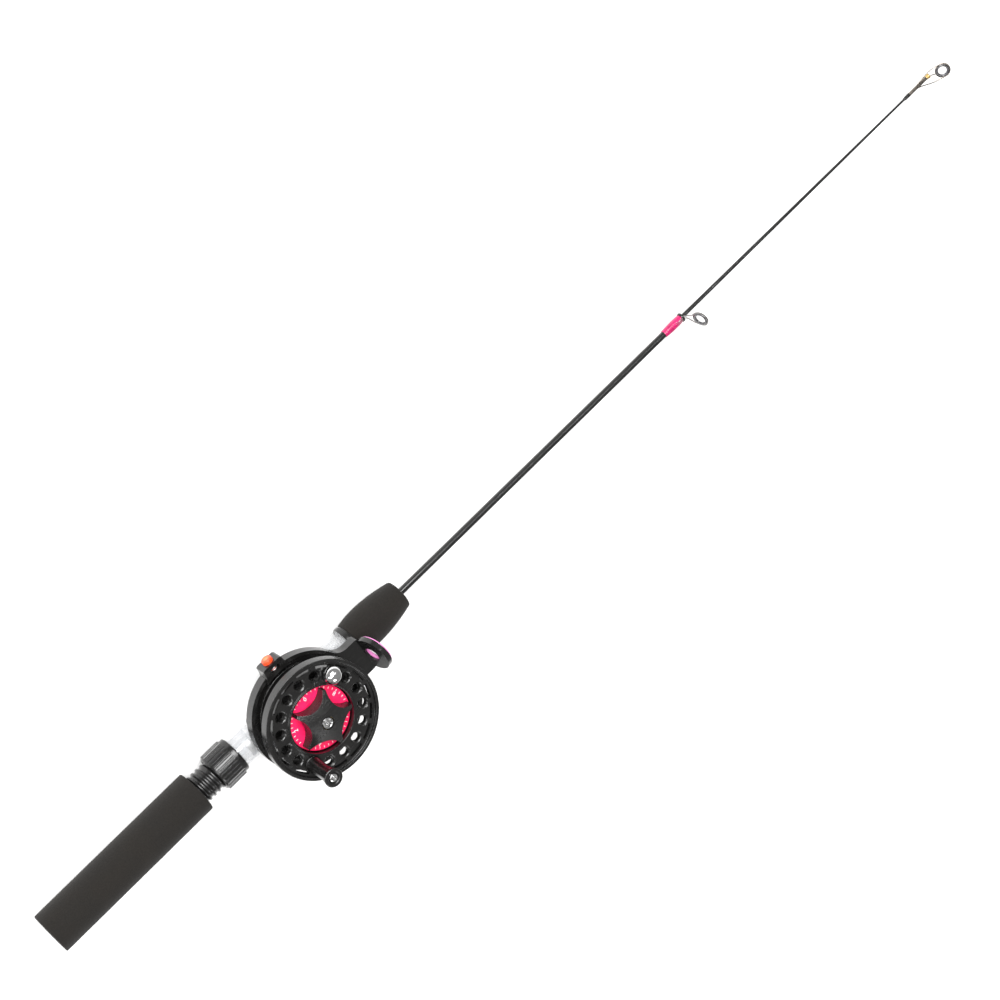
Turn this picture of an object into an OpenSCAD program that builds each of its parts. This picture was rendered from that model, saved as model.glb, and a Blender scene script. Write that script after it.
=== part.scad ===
// Ice fishing rod with a centre-pin reel on a clear reel seat.
// Millimetres. The origin is the centre of the butt's end face, on the rod's axis.
// +X runs along the rod to its tip, +Z points to the reel and the line guides.

/* [Rear grip] */
// Length of the foam rear grip
grip_len = 92; // [85:1:115]
// Diameter of the foam rear grip
grip_d = 21.8; // [20:0.2:27]
// Diameter of the stiff tube inside the grip
handle_d = 9.8; // [9:0.1:10.4]
// Length of sleeve that is glued into the grip
sleeve_shank_len = 42; // [30:1:55]

/* [Reel seat] */
// Diameter of the clear seat tube
seat_d = 12.6; // [12:0.1:13.4]
// Bore of the clear seat tube
seat_bore_d = 7; // [6:0.1:7.6]
// Clear length between the lock nut and the fore collar
seat_open_len = 73; // [70:1:90]
// Diameter over the crests of the seat thread
thread_d = 15.4; // [15:0.1:16]
// Depth of the seat thread
thread_depth = 0.8; // [0.5:0.1:1]
// Distance from crest to crest of the seat thread
thread_pitch = 2.75; // [2.3:0.05:3]
// Thread left bare between the grip and the nut
thread_bare_len = 11; // [9:1:16]
// Thread inside the nut when it is tight
thread_held_len = 5; // [4:0.5:6]
// Diameter of the lock nut over its ribs
nut_d = 20.3; // [19.6:0.1:24]
// Length of the lock nut
nut_len = 14; // [13:1:18]
// Number of ribs round the lock nut
nut_ribs = 30; // [20:2:36]
// How far the nut and its hood back off
hood_travel = 6; // [4:0.5:6]
// Length of the hoods ahead of the nut and behind the collar
hood_len = 10; // [8:0.5:12]
// Wall of the clear hoods
hood_wall = 0.9; // [0.7:0.1:1.3]
// Diameter of the hood behind the collar
front_hood_d = 18; // [17.6:0.1:18.4]

/* [Foregrip and lower blank] */
// Length of the collar behind the foregrip
collar_len = 3; // [2:0.5:5]
// Diameter of the collar and of the foregrip's rear end
collar_d = 18.6; // [18:0.2:20]
// Largest diameter of the foregrip
foregrip_d = 20.6; // [20:0.2:24]
// Diameter of the foregrip's tip end
foregrip_tip_d = 14.8; // [12:0.2:16]
// Length of the foregrip
foregrip_len = 32.5; // [28:0.5:45]
// Diameter of the lower blank where it leaves the foregrip
blank_d = 3.7; // [3.5:0.1:4.4]
// Diameter of the lower blank at its mouth
blank_mouth_d = 3.4; // [3.3:0.1:4]
// Bore of the lower blank
blank_bore_d = 2.6; // [2.6:0.05:2.8]
// Lower blank from the foregrip to its mouth
blank_open_len = 201; // [180:1:260]
// Length of the winding over the mouth, with its trim
wrap_len = 13.5; // [12:0.5:20]
// Thickness of the winding at its middle
wrap_thick = 0.85; // [0.7:0.05:1.2]
// Length of the thin trim ring at the mouth
trim_len = 1.4; // [1:0.1:2]

/* [Tip section] */
// Tip section from the mouth to the tip-top
tip_open_len = 174.5; // [165:0.5:220]
// Diameter of the tip section at the mouth
tip_d = 2.3; // [2.2:0.05:2.35]
// Diameter of the tip section at its end
tip_end_d = 1.2; // [1:0.05:1.3]
// Length of the narrowed mouth that grips the tip section
socket_len = 12.5; // [10:0.5:16]
// Length of the tip section's thick root
root_len = 14; // [10:1:18]
// How far the tip section slides into the lower blank
tip_travel = 160; // [120:5:160]

/* [Line guides] */
// Height of the lower guide's ring above the axis
guide_h = 13.4; // [11:0.2:16]
// Distance of the lower guide's ring ahead of the mouth
guide_ahead = 1.8; // [1:0.2:5]
// Forward lean of the lower guide's ring
guide_lean = 17; // [10:1:35]
// Outside diameter of the lower guide's ceramic ring
guide_ring_d = 7.8; // [7:0.2:10]
// Hole in the lower guide's ceramic ring
guide_hole_d = 4.6; // [4:0.2:5.2]
// Length of the tip-top's tube
tip_tube_len = 15.5; // [13:0.5:18]
// Height of the tip-top's ring above the axis
tip_ring_h = 5.6; // [5:0.2:7]
// Forward lean of the tip-top's ring
tip_lean = 55; // [40:1:60]
// Outside diameter of the tip-top's ceramic ring
tip_ring_d = 7.3; // [6.6:0.1:8]
// Hole in the tip-top's ceramic ring
tip_hole_d = 4.4; // [4:0.1:5]
// Thickness of the ceramic rings
ceramic_t = 1.3; // [1:0.1:1.6]
// Diameter of the guides' wire
wire_d = 0.7; // [0.6:0.05:0.9]

/* [Reel frame] */
// Distance of the reel's axis ahead of the nut
reel_ahead = 36; // [35.5:0.5:37]
// Height of the frame's underside above the rod's axis
frame_base = 11.7; // [11.2:0.1:13]
// Diameter of the dished frame
frame_d = 58; // [57:0.5:62]
// Wall of the dished frame
frame_wall = 1.8; // [1.4:0.1:2.2]
// Thickness of the frame's floor
frame_floor = 2; // [1.8:0.1:2.2]
// Height of the dished frame
frame_h = 5.3; // [5:0.1:6]
// Width of the arm that carries the line-guide ring
arm_w = 18.6; // [16:0.2:19]
// Radius of the blends between the arm and the dish
arm_blend = 8; // [5:0.5:10]
// Distance of the line-guide ring ahead of the reel's axis
line_guide_ahead = 40.4; // [40:0.1:44]
// Outside diameter of the line-guide ring
line_guide_d = 19; // [17:0.5:20]
// Thickness of the line-guide ring
line_guide_t = 2.6; // [2.4:0.1:3.6]
// Forward lean of the line-guide ring
line_guide_lean = 14; // [8:1:18]
// Outside diameter of the insert in the line-guide ring
insert_d = 12.6; // [11:0.1:13]
// Hole in the insert
insert_hole_d = 7.2; // [6.4:0.1:8]
// Height of the boss that holds the push button
boss_h = 7.6; // [7.4:0.1:8.5]
// Width of the boss at its foot
boss_foot_w = 19; // [17:0.5:21]
// Width of the boss at its outer end
boss_end_w = 10.5; // [9:0.5:12]
// How far the boss stands out of the dish
boss_out = 4.2; // [4:0.1:5]

/* [Reel foot] */
// Length of the saddle under the frame
saddle_len = 48; // [44:1:48]
// Width of the saddle under the frame
saddle_w = 26; // [22:1:26]
// Length of each toe that a hood holds down
toe_len = 7; // [6:0.5:8]
// Thickness of the toes
toe_t = 1.2; // [1:0.1:1.3]
// Width of the toes
toe_w = 7.8; // [6:0.2:8.2]

/* [Spool] */
// Diameter of the spool's front flange
spool_d = 58.8; // [57:0.2:62]
// Diameter of the spool's back flange, inside the dish
back_flange_d = 48.4; // [44:0.2:48.4]
// Diameter of the spool's arbor, where the line is wound
arbor_d = 30; // [28:0.5:34]
// Width of the line groove
groove_w = 10.9; // [9:0.1:13]
// Height of the front flange's rim
rim_h = 5; // [4.5:0.1:6]
// Number of places round the front flange
hole_count = 16; // [16]
// Radius of the ring of holes
hole_ring_r = 21.7; // [21.4:0.1:22.2]
// Diameter of the holes
hole_d = 4.4; // [3.5:0.1:4.8]
// Diameter of the holes' countersinks
sink_d = 6.2; // [5.4:0.1:6.6]
// Direction of the crank, seen from the front
crank_angle = 221.6; // [0:0.1:360]
// Diameter of the recess for the dial
recess_d = 33; // [31:0.2:34]
// Thickness of the dial
dial_t = 1.4; // [1:0.1:1.6]

/* [Knobs] */
// Diameter over the points of the star knob
star_d = 30; // [27:0.5:31]
// Distance from the axis to the star's hollows
star_waist_r = 8.8; // [8:0.1:9.5]
// Height of the star knob at its middle
star_h = 8.2; // [7.8:0.1:9]
// Fall of the star's top from its middle to its points
star_fall = 3.6; // [2:0.1:4]
// Direction of the first point of the star
star_angle = 55; // [0:1:72]
// Largest diameter of the crank knob
knob_d = 10; // [8.5:0.1:11]
// Smallest diameter of the crank knob
knob_waist_d = 7; // [6:0.1:8]
// Length of the crank knob
knob_len = 18.9; // [15:0.1:21]
// Diameter of the counterweight
weight_d = 9.2; // [8:0.1:9.4]
// Height of the counterweight's head
weight_h = 5.3; // [4.6:0.1:6]
// Travel of the push button
button_travel = 1.6; // [1:0.1:1.6]

/* [Hidden] */
$fn = 96;

// clearances
glue_gap = 0.05;    // between bonded pieces
run_gap = 0.08;     // round a shaft that turns or slides
air_gap = 0.3;      // between pieces that pass each other
eps = 0.01;         // how far a cut runs past a face

// radii along the rod
grip_r = grip_d / 2;
handle_r = handle_d / 2;
seat_r = seat_d / 2;
seat_bore_r = seat_bore_d / 2;
thread_r = thread_d / 2;
thread_root_r = thread_r - thread_depth;
sleeve_bore_r = handle_r + glue_gap;
nut_r = nut_d / 2;
nut_rib_h = 0.45;
nut_bore_r = thread_r + run_gap;
flange_r = nut_bore_r + 0.4;
flange_len = 2.3;
blank_r = blank_d / 2;
blank_bore_r = blank_bore_d / 2;
tip_r = tip_d / 2;
tip_end_r = tip_end_d / 2;
mouth_r = tip_r + 0.05;
root_r = blank_bore_r - 0.05;

// stations along the rod
shank_x = grip_len - sleeve_shank_len;
nut_x = grip_len + thread_bare_len;
nut_end_x = nut_x + nut_len;
sleeve_end_x = nut_x + thread_held_len;
handle_end_x = grip_len + 2;
seat_end_x = nut_end_x + seat_open_len;
foregrip_x = seat_end_x + collar_len;
foregrip_end_x = foregrip_x + foregrip_len;
seat_nose_x = foregrip_x + 11;
foam_lip = 1.5;
bush_end_x = foregrip_end_x - foam_lip;
blank_x = seat_end_x + 1;
mouth_x = foregrip_end_x + blank_open_len;
wrap_x = mouth_x - wrap_len;
root_end_x = mouth_x - socket_len - 0.2;
root_x = root_end_x - root_len;
tip_end_x = mouth_x + tip_open_len;
tip_in_tube = 11;
plug_depth = 8;
plug_flange_t = 1.5;
plug_flange_r = handle_r + 1.2;

// radius of the tip section at station x
function tip_radius(x) =
    tip_r + (tip_end_r - tip_r) * (x - mouth_x + socket_len) / (tip_open_len + socket_len);
// radius of the lower blank at station x
function blank_radius(x) =
    blank_r + (blank_mouth_d / 2 - blank_r) * (x - blank_x) / (mouth_x - blank_x);

// guides
tip_ring_x = tip_end_x + tip_tube_len + 5.1;
guide_x = mouth_x + guide_ahead;
holder_wall = 0.45;
tip_tube_bore_r = tip_radius(tip_end_x) + 0.1;
tip_tube_r = tip_tube_bore_r + 0.3;
foot_strip_w = 1.5;
foot_strip_t = 0.45;
foot_strip_len = 9;
foot_strip_out = 0.9;

// reel
reel_x = nut_end_x + reel_ahead;
frame_r = frame_d / 2;
dish_r = frame_r - frame_wall;
dish_floor = frame_base + frame_floor;
frame_top = frame_base + frame_h;
line_guide_r = line_guide_d / 2;
line_guide_z = frame_base + 0.5 + line_guide_r * cos(line_guide_lean);
insert_r = insert_d / 2;
insert_hole_r = insert_hole_d / 2;
insert_flange_t = 0.8;
insert_low = 1.05 - line_guide_t / 2;
insert_throat = 0.8;
flare = line_guide_t / 2 + insert_flange_t - insert_low - insert_throat + 0.15;
arm_len = line_guide_ahead - line_guide_r * sin(line_guide_lean) + line_guide_t / 2 + 0.4;
boss_end = frame_r + boss_out;
boss_top = frame_base + boss_h;

// push button, along +Y at the reel's axis
button_z = frame_base + 3.7;
button_r = 2.65;
core_r = 1.6;
button_out = 2.1;
chamber_y = dish_r + 1.5;
cap_y = chamber_y + 2.8;
spring_wire = 0.4;
window_w = 5;
window_len = 2.2;
shoe_t = 1;
shoe_w = 6.4;
shoe_h = 2.8;
shoe_r = dish_r - 0.2;

// foot
toe_gap = 0.2;
toe_r = seat_r + toe_gap;
saddle_low = 4.8;
saddle_corner = 3;
screw_x = 16;
screw_y = 7.5;
screw_shank_r = 1.2;
screw_head_r = 2.4;
axle_nut_r = 3.9;
axle_nut_t = 2.2;

// spool
spool_r = spool_d / 2;
back_flange_r = back_flange_d / 2;
arbor_r = arbor_d / 2;
arbor_wall = 2;
spool_z = dish_floor + 1.3;
back_flange_t = 1.5;
groove_z = spool_z + back_flange_t;
front_z = groove_z + groove_w;
web_z = front_z + 0.6;
web_t = 3;
face_z = web_z + web_t;
rim_z = front_z + rim_h;
rim_wall = 1.7;
recess_r = recess_d / 2;
lip_wall = 1;
lip_h = 0.6;
seat_z = face_z - 3.8;
seat_t = 2;
hub_r = 5.6;
slot_in_r = 25.2;
slot_out_r = 26.5;
slot_span = 17;

// axle and drag stack, upwards from the dial's seat
axle_r = 2.4;
axle_thread_r = 1.9;
axle_flange_r = 4.6;
bush_r = 3.5;
dial_r = recess_r - 0.5;
dial_hole_r = 8.2;
drag_r = 7.4;
felt_t = 0.8;
plate_t = 0.5;
knob_z = seat_z + 1.8;
cavity_r = 4.6;
cavity_h = 2.7;
insert_nut_r = 3.4;
screw_recess_r = 3.2;
screw_recess_z = knob_z + star_h - 1.9;
axle_top = screw_recess_z - 0.2;
star_r = star_d / 2;

// crank and counterweight
knob_r = knob_d / 2;
knob_z0 = face_z + 0.7;
knob_top = knob_z0 + knob_len;
post_r = 1.6;
post_head_r = 2.15;
post_head_t = 1.4;
weight_r = weight_d / 2;
weight_neck = 0.7;

// ---- helpers ----

// Places a shape drawn up +Z at station x, lying along the rod
module on_rod(x) {
    translate([x, 0, 0])
        rotate([0, 90, 0])
            children();
}

// Places a shape drawn up +Z on the reel's axis, at height z
module on_reel(z) {
    translate([reel_x, 0, z])
        children();
}

// Places a shape drawn up +Z beside the reel's axis, in direction a
module round_reel(r, a, z) {
    translate([reel_x + r * cos(a), r * sin(a), z])
        children();
}

// Places a shape drawn up +Z on the push button's axis, y out from the reel's axis
module on_button(y) {
    translate([reel_x, y, button_z])
        rotate([-90, 0, 0])
            children();
}

// Leans a ring drawn round +Z so that it faces along the rod
module leaning_ring(x, z, lean) {
    translate([x, 0, z])
        rotate([0, 90 + lean, 0])
            children();
}

module tube(r_out, r_in, h) {
    difference() {
        cylinder(h = h, r = r_out);
        translate([0, 0, -eps])
            cylinder(h = h + 2 * eps, r = r_in);
    }
}

// Bar with both ends rounded
module soft_bar(r, h, edge) {
    rotate_extrude() {
        square([r - edge, h]);
        translate([0, edge])
            square([r, h - 2 * edge]);
        for (z = [edge, h - edge])
            translate([r - edge, z])
                intersection() {
                    circle(r = edge, $fn = 32);
                    translate([-edge, -edge])
                        square(2 * edge);
                }
    }
}

// Straight wire from p to q
module wire(p, q, r) {
    d = q - p;
    len = norm(d);
    translate(p)
        rotate([0, acos(d[2] / len), atan2(d[1], d[0])])
            cylinder(h = len, r = r, $fn = 24);
}

// Rectangle with round corners, centred
module round_rect(w, h, r) {
    square([w - 2 * r, h], center = true);
    square([w, h - 2 * r], center = true);
    for (x = [-1, 1])
        for (y = [-1, 1])
            translate([x * (w / 2 - r), y * (h / 2 - r)])
                circle(r = r, $fn = 32);
}

// Upper part of a shell round the seat, of width w
module saddle_shell(r_out, r_in, len, w) {
    intersection() {
        tube(r_out, r_in, len);
        translate([-r_out - 1, -w / 2, -eps])
            cube([r_out + 1, w, len + 2 * eps]);
    }
}

// ---- rear grip and seat ----

module rear_grip() {
    color("#2b2725")
        on_rod(0)
            difference() {
                cylinder(h = grip_len, r = grip_r);
                translate([0, 0, -eps])
                    cylinder(h = plug_flange_t + eps, r = plug_flange_r + glue_gap);
                translate([0, 0, -eps])
                    cylinder(h = grip_len + 1, r = handle_r + glue_gap);
                translate([0, 0, shank_x - air_gap])
                    cylinder(h = grip_len, r = thread_root_r + glue_gap);
            }
}

module butt_plug() {
    color("#1c1c1c")
        on_rod(0.4)
            union() {
                cylinder(h = plug_flange_t - 0.4, r = plug_flange_r);
                cylinder(h = plug_depth, r = handle_r - 0.9 - glue_gap);
            }
}

module handle_tube() {
    color("#8f8f8a")
        on_rod(plug_flange_t)
            tube(handle_r, handle_r - 0.9, handle_end_x - plug_flange_t);
}

module threaded_sleeve() {
    ridges = floor((sleeve_end_x - grip_len - 0.5) / thread_pitch);
    color("#1d1d1f")
        on_rod(0)
            difference() {
                union() {
                    translate([0, 0, shank_x])
                        cylinder(h = sleeve_end_x - shank_x, r = thread_root_r);
                    for (i = [0 : ridges - 1])
                        translate([0, 0, grip_len + 0.5 + i * thread_pitch])
                            thread_ridge();
                }
                translate([0, 0, shank_x - eps])
                    cylinder(h = sleeve_end_x - shank_x + 2 * eps, r = sleeve_bore_r);
            }
}

module thread_ridge() {
    root = thread_root_r - 0.1;
    flank = thread_pitch * 0.3;
    crest = thread_pitch * 0.16;
    rotate_extrude()
        polygon([[root - 1, 0], [root, 0], [thread_r, flank], [thread_r, flank + crest],
            [root, 2 * flank + crest], [root - 1, 2 * flank + crest]]);
}

module seat_tube() {
    color([0.85, 0.87, 0.9, 0.45])
        on_rod(0)
            difference() {
                union() {
                    translate([0, 0, handle_end_x + air_gap])
                        cylinder(h = seat_nose_x - handle_end_x - air_gap, r = sleeve_bore_r - glue_gap);
                    translate([0, 0, sleeve_end_x])
                        cylinder(h = seat_nose_x - sleeve_end_x, r = seat_r);
                }
                translate([0, 0, handle_end_x])
                    cylinder(h = seat_nose_x, r = seat_bore_r);
            }
}

// Clear hood drawn from its closed end at z = 0 to its mouth at z = hood_len
module hood_shell(ring_r) {
    cover_r = toe_r + toe_t + toe_gap;
    pocket_len = 5.6;
    difference() {
        union() {
            cylinder(h = hood_len, r = ring_r);
            saddle_shell(cover_r + hood_wall, seat_r, hood_len, toe_w + 3);
        }
        translate([0, 0, -eps])
            cylinder(h = hood_len + 2 * eps, r = seat_r + run_gap);
        translate([0, 0, hood_len - pocket_len])
            saddle_shell(cover_r, seat_r - 1, pocket_len + eps, toe_w + 0.8);
    }
}

module sliding_hood() {
    color([0.85, 0.87, 0.9, 0.45])
        union() {
            on_rod(nut_end_x + air_gap)
                hood_shell(seat_r + hood_wall);
            on_rod(nut_end_x - 0.2 - flange_len)
                tube(flange_r, seat_r + run_gap, flange_len + air_gap + 0.3);
        }
}

module fixed_hood() {
    color([0.85, 0.87, 0.9, 0.45])
        translate([seat_end_x, 0, 0])
            mirror([1, 0, 0])
                on_rod(0)
                    hood_shell(front_hood_d / 2);
}

module lock_nut() {
    plain = 2.6;
    rim_r = nut_r - 0.75;
    color("#19191b")
        on_rod(nut_x)
            difference() {
                union() {
                    cylinder(h = 1, r1 = rim_r - 0.4, r2 = rim_r);
                    translate([0, 0, 1])
                        cylinder(h = nut_len - plain - 1, r = nut_r - nut_rib_h);
                    translate([0, 0, nut_len - plain])
                        cylinder(h = plain - 0.6, r = rim_r);
                    translate([0, 0, nut_len - 0.6])
                        cylinder(h = 0.6, r1 = rim_r, r2 = rim_r - 0.5);
                    for (i = [0 : nut_ribs - 1])
                        rotate([0, 0, i * 360 / nut_ribs])
                            translate([nut_r - 1, -0.5, 1.2])
                                cube([1, 1, nut_len - plain - 1.4]);
                    rotate([0, 0, 160])
                        translate([rim_r - 0.45, -0.8, nut_len - 2.2])
                            cube([0.8, 1.6, 1.2]);
                }
                translate([0, 0, -eps])
                    cylinder(h = nut_len + 2 * eps, r = nut_bore_r);
                translate([0, 0, nut_len - flange_len - 0.4])
                    cylinder(h = flange_len + 1, r = flange_r + 0.15);
            }
}

// ---- foregrip and blanks ----

module fore_collar() {
    color("#161617")
        on_rod(seat_end_x)
            difference() {
                soft_bar(collar_d / 2, collar_len, 0.4);
                translate([0, 0, -eps])
                    cylinder(h = collar_len + 2 * eps, r = seat_r + glue_gap);
            }
}

// Foregrip's radius at a share t of its length: it swells, then runs down to the tip end
function foregrip_radius(t) =
    let (peak = 0.32, top = foregrip_d / 2)
    t < peak
        ? collar_d / 2 + (top - collar_d / 2) * sin(90 * t / peak)
        : foregrip_tip_d / 2 + (top - foregrip_tip_d / 2) * pow(cos(90 * (t - peak) / (1 - peak)), 0.9);

module foregrip() {
    steps = 24;
    edge = 0.6;
    color("#2b2725")
        on_rod(foregrip_x)
            difference() {
                rotate_extrude()
                    polygon(concat(
                        [[0, 0], [foregrip_radius(0) - edge, 0]],
                        [for (i = [0 : steps - 1])
                            let (t = 0.02 + 0.96 * i / (steps - 1))
                            [foregrip_radius(t), t * foregrip_len]],
                        [[foregrip_radius(1) - edge, foregrip_len], [0, foregrip_len]]));
                translate([0, 0, -eps])
                    cylinder(h = seat_nose_x - foregrip_x + 0.2, r = seat_r + glue_gap);
                cylinder(h = bush_end_x - foregrip_x + 0.1, r = seat_bore_r + glue_gap);
                cylinder(h = foregrip_len + 1, r = blank_r + glue_gap);
            }
}

module blank_bushing() {
    color("#222222")
        on_rod(blank_x)
            tube(seat_bore_r - glue_gap, blank_r + glue_gap, bush_end_x - blank_x);
}

module lower_blank() {
    color("#101012")
        on_rod(blank_x)
            difference() {
                cylinder(h = mouth_x - blank_x, r1 = blank_r, r2 = blank_mouth_d / 2);
                translate([0, 0, -eps])
                    cylinder(h = mouth_x - blank_x - socket_len, r = blank_bore_r);
                cylinder(h = mouth_x - blank_x + 1, r = mouth_r);
            }
}

module guide_wrap() {
    steps = 14;
    len = wrap_len - trim_len;
    color("#e8307f")
        difference() {
            on_rod(wrap_x)
                rotate_extrude()
                    polygon(concat(
                        [[1, 0]],
                        [for (i = [0 : steps])
                            let (t = i / steps, x = wrap_x + t * len)
                            [blank_radius(x) + 0.12
                                + (wrap_thick - 0.12) * sqrt(sin(15 + 150 * t)) * (0.7 + 0.3 * t),
                            t * len]],
                        [[1, len]]));
            on_rod(wrap_x - eps)
                cylinder(h = len + 2 * eps, r1 = blank_radius(wrap_x) + 0.02,
                    r2 = blank_radius(wrap_x + len) + 0.02);
            foot_strip(0.05);
        }
}

module wrap_trim() {
    color("#111111")
        difference() {
            on_rod(mouth_x - trim_len)
                tube(blank_mouth_d / 2 + wrap_thick, blank_radius(mouth_x - trim_len) + 0.02, trim_len);
            foot_strip(0.05);
        }
}

// Flat foot of the lower guide, grown by g
module foot_strip(g) {
    z = blank_radius(wrap_x) + 0.03;
    translate([mouth_x - foot_strip_len - g, -foot_strip_w / 2 - g, z - g])
        cube([foot_strip_len + foot_strip_out + 2 * g, foot_strip_w + 2 * g, foot_strip_t + 2 * g]);
}

// Point on the rim of a leaning ring, a degrees round from its lowest point
function rim_point(x, z, lean, r, a) = [
    x - r * cos(a) * sin(lean),
    r * sin(a),
    z - r * cos(a) * cos(lean)];

module ceramic_ring(r_out, r_in) {
    difference() {
        translate([0, 0, -ceramic_t / 2])
            soft_bar(r_out, ceramic_t, 0.3);
        translate([0, 0, -ceramic_t])
            cylinder(h = 2 * ceramic_t, r = r_in);
    }
}

// Thin metal band round a ceramic ring
module ring_holder(r_in) {
    band_t = ceramic_t * 0.6;
    translate([0, 0, -band_t / 2])
        tube(r_in + holder_wall, r_in, band_t);
}

// What the ceramic ring takes out of the metal round it
module ring_seat(r_in) {
    translate([0, 0, -ceramic_t])
        cylinder(h = 2 * ceramic_t, r = r_in);
}

module guide_frame() {
    hold_r = guide_ring_d / 2 + 0.02;
    root_z = blank_radius(wrap_x) + 0.03 + foot_strip_t / 2;
    color("#c9cbcd")
        difference() {
            union() {
                leaning_ring(guide_x, guide_h, guide_lean)
                    ring_holder(hold_r);
                foot_strip(0);
                for (s = [-1, 1]) {
                    foot = [mouth_x + 0.45, s * 0.4, root_z];
                    knee = [mouth_x + 0.6, s * 1.2, root_z + 2];
                    wire(foot, knee, wire_d / 2);
                    translate(knee)
                        sphere(r = wire_d / 2 + 0.04, $fn = 24);
                    wire(knee, rim_point(guide_x, guide_h, guide_lean, hold_r + holder_wall / 2, s * 38),
                        wire_d / 2);
                }
            }
            leaning_ring(guide_x, guide_h, guide_lean)
                ring_seat(hold_r);
        }
}

module guide_ring() {
    color("#4a4a50")
        leaning_ring(guide_x, guide_h, guide_lean)
            ceramic_ring(guide_ring_d / 2, guide_hole_d / 2);
}

module upper_blank() {
    color("#141414")
        union() {
            on_rod(root_x)
                cylinder(h = root_len, r = root_r);
            on_rod(root_end_x)
                cylinder(h = mouth_x - socket_len - root_end_x, r = tip_r);
            on_rod(mouth_x - socket_len)
                cylinder(h = tip_open_len + socket_len + tip_in_tube, r1 = tip_r,
                    r2 = tip_radius(tip_end_x + tip_in_tube));
        }
}

module tip_sleeve() {
    len = 4.5;
    x = tip_end_x - len;
    color("#0c0c0c")
        on_rod(x)
            difference() {
                cylinder(h = len, r1 = tip_tube_r - 0.1, r2 = tip_tube_r + 0.1);
                translate([0, 0, -eps])
                    cylinder(h = len + 2 * eps, r1 = tip_radius(x) + 0.02, r2 = tip_radius(tip_end_x) + 0.02);
            }
}

module tip_top_frame() {
    hold_r = tip_ring_d / 2 + 0.02;
    leg_x = tip_end_x + 7;
    color("#d8d9db")
        difference() {
            union() {
                on_rod(tip_end_x) {
                    cylinder(h = tip_tube_len, r = tip_tube_r);
                    translate([0, 0, tip_tube_len - 2])
                        cylinder(h = 2, r1 = tip_tube_r, r2 = tip_tube_r + 0.5);
                }
                leaning_ring(tip_ring_x, tip_ring_h, tip_lean)
                    ring_holder(hold_r);
                wire([tip_end_x + tip_tube_len - 0.5, 0, tip_tube_r + 0.1],
                    rim_point(tip_ring_x, tip_ring_h, tip_lean, hold_r + holder_wall / 2, 0), wire_d / 2);
                for (s = [-1, 1])
                    wire([leg_x, s * tip_tube_r, 0],
                        rim_point(tip_ring_x, tip_ring_h, tip_lean, hold_r + holder_wall / 2, s * 100),
                        wire_d / 2);
            }
            on_rod(tip_end_x - eps)
                cylinder(h = tip_in_tube + 1, r = tip_tube_bore_r);
            leaning_ring(tip_ring_x, tip_ring_h, tip_lean)
                ring_seat(hold_r);
        }
}

module tip_ring() {
    color("#3c3a46")
        leaning_ring(tip_ring_x, tip_ring_h, tip_lean)
            ceramic_ring(tip_ring_d / 2, tip_hole_d / 2);
}

// ---- reel frame and foot ----

module reel_foot() {
    color("#1b1b1d")
        difference() {
            on_reel(saddle_low)
                linear_extrude(frame_base - saddle_low)
                    round_rect(saddle_len, saddle_w, saddle_corner);
            on_rod(reel_x - saddle_len / 2 - 1)
                cylinder(h = saddle_len + 2, r = toe_r);
            on_rod(reel_x - saddle_len / 2 - 1)
                saddle_shell(toe_r + toe_t + glue_gap, toe_r - 1, saddle_len + 2, toe_w + 2 * glue_gap);
            on_reel(frame_base - axle_nut_t - 0.3)
                cylinder(h = axle_nut_t + 1, r = axle_nut_r + 0.2);
            screw_places(saddle_low + 1)
                cylinder(h = frame_base, r = screw_shank_r + glue_gap);
        }
}

// Curved steel plate whose ends are the toes that the hoods hold down
module foot_plate() {
    color("#c4c6c8")
        on_rod(reel_x - saddle_len / 2 - toe_len)
            saddle_shell(toe_r + toe_t, toe_r, saddle_len + 2 * toe_len, toe_w);
}

module screw_places(z) {
    for (x = [-1, 1])
        for (y = [-1, 1])
            translate([reel_x + x * screw_x, y * screw_y, z])
                children();
}

module foot_screws() {
    head_h = screw_head_r - screw_shank_r;
    color("#b9bbbe")
        screw_places(0)
            difference() {
                union() {
                    translate([0, 0, saddle_low + 1.5])
                        cylinder(h = dish_floor - head_h - saddle_low - 1.5, r = screw_shank_r);
                    translate([0, 0, dish_floor - head_h])
                        cylinder(h = head_h, r1 = screw_shank_r, r2 = screw_head_r);
                }
                for (a = [0, 90])
                    rotate([0, 0, a])
                        translate([-1.5, -0.25, dish_floor - 0.7])
                            cube([3, 0.5, 1]);
            }
}

// Outline of the dish with its arm, blended by arcs that touch both
module frame_outline() {
    half = arm_w / 2;
    blend_x = sqrt(pow(frame_r + arm_blend, 2) - pow(half + arm_blend, 2));
    circle(r = frame_r);
    translate([0, -half])
        square([arm_len, arm_w]);
    for (s = [-1, 1])
        difference() {
            polygon([[0, 0], [blend_x, s * (half + arm_blend)], [blend_x, 0]]);
            translate([blend_x, s * (half + arm_blend)])
                circle(r = arm_blend);
        }
}

// Outline of the button boss, on the dish's +Y side
module boss_outline() {
    polygon([[-boss_foot_w / 2, frame_r * 0.8], [-boss_foot_w / 2, frame_r - 1.9],
        [-boss_end_w / 2, boss_end - 1], [-boss_end_w / 2 + 1, boss_end],
        [boss_end_w / 2 - 1, boss_end], [boss_end_w / 2, boss_end - 1],
        [boss_foot_w / 2, frame_r - 1.9], [boss_foot_w / 2, frame_r * 0.8]]);
}

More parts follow.
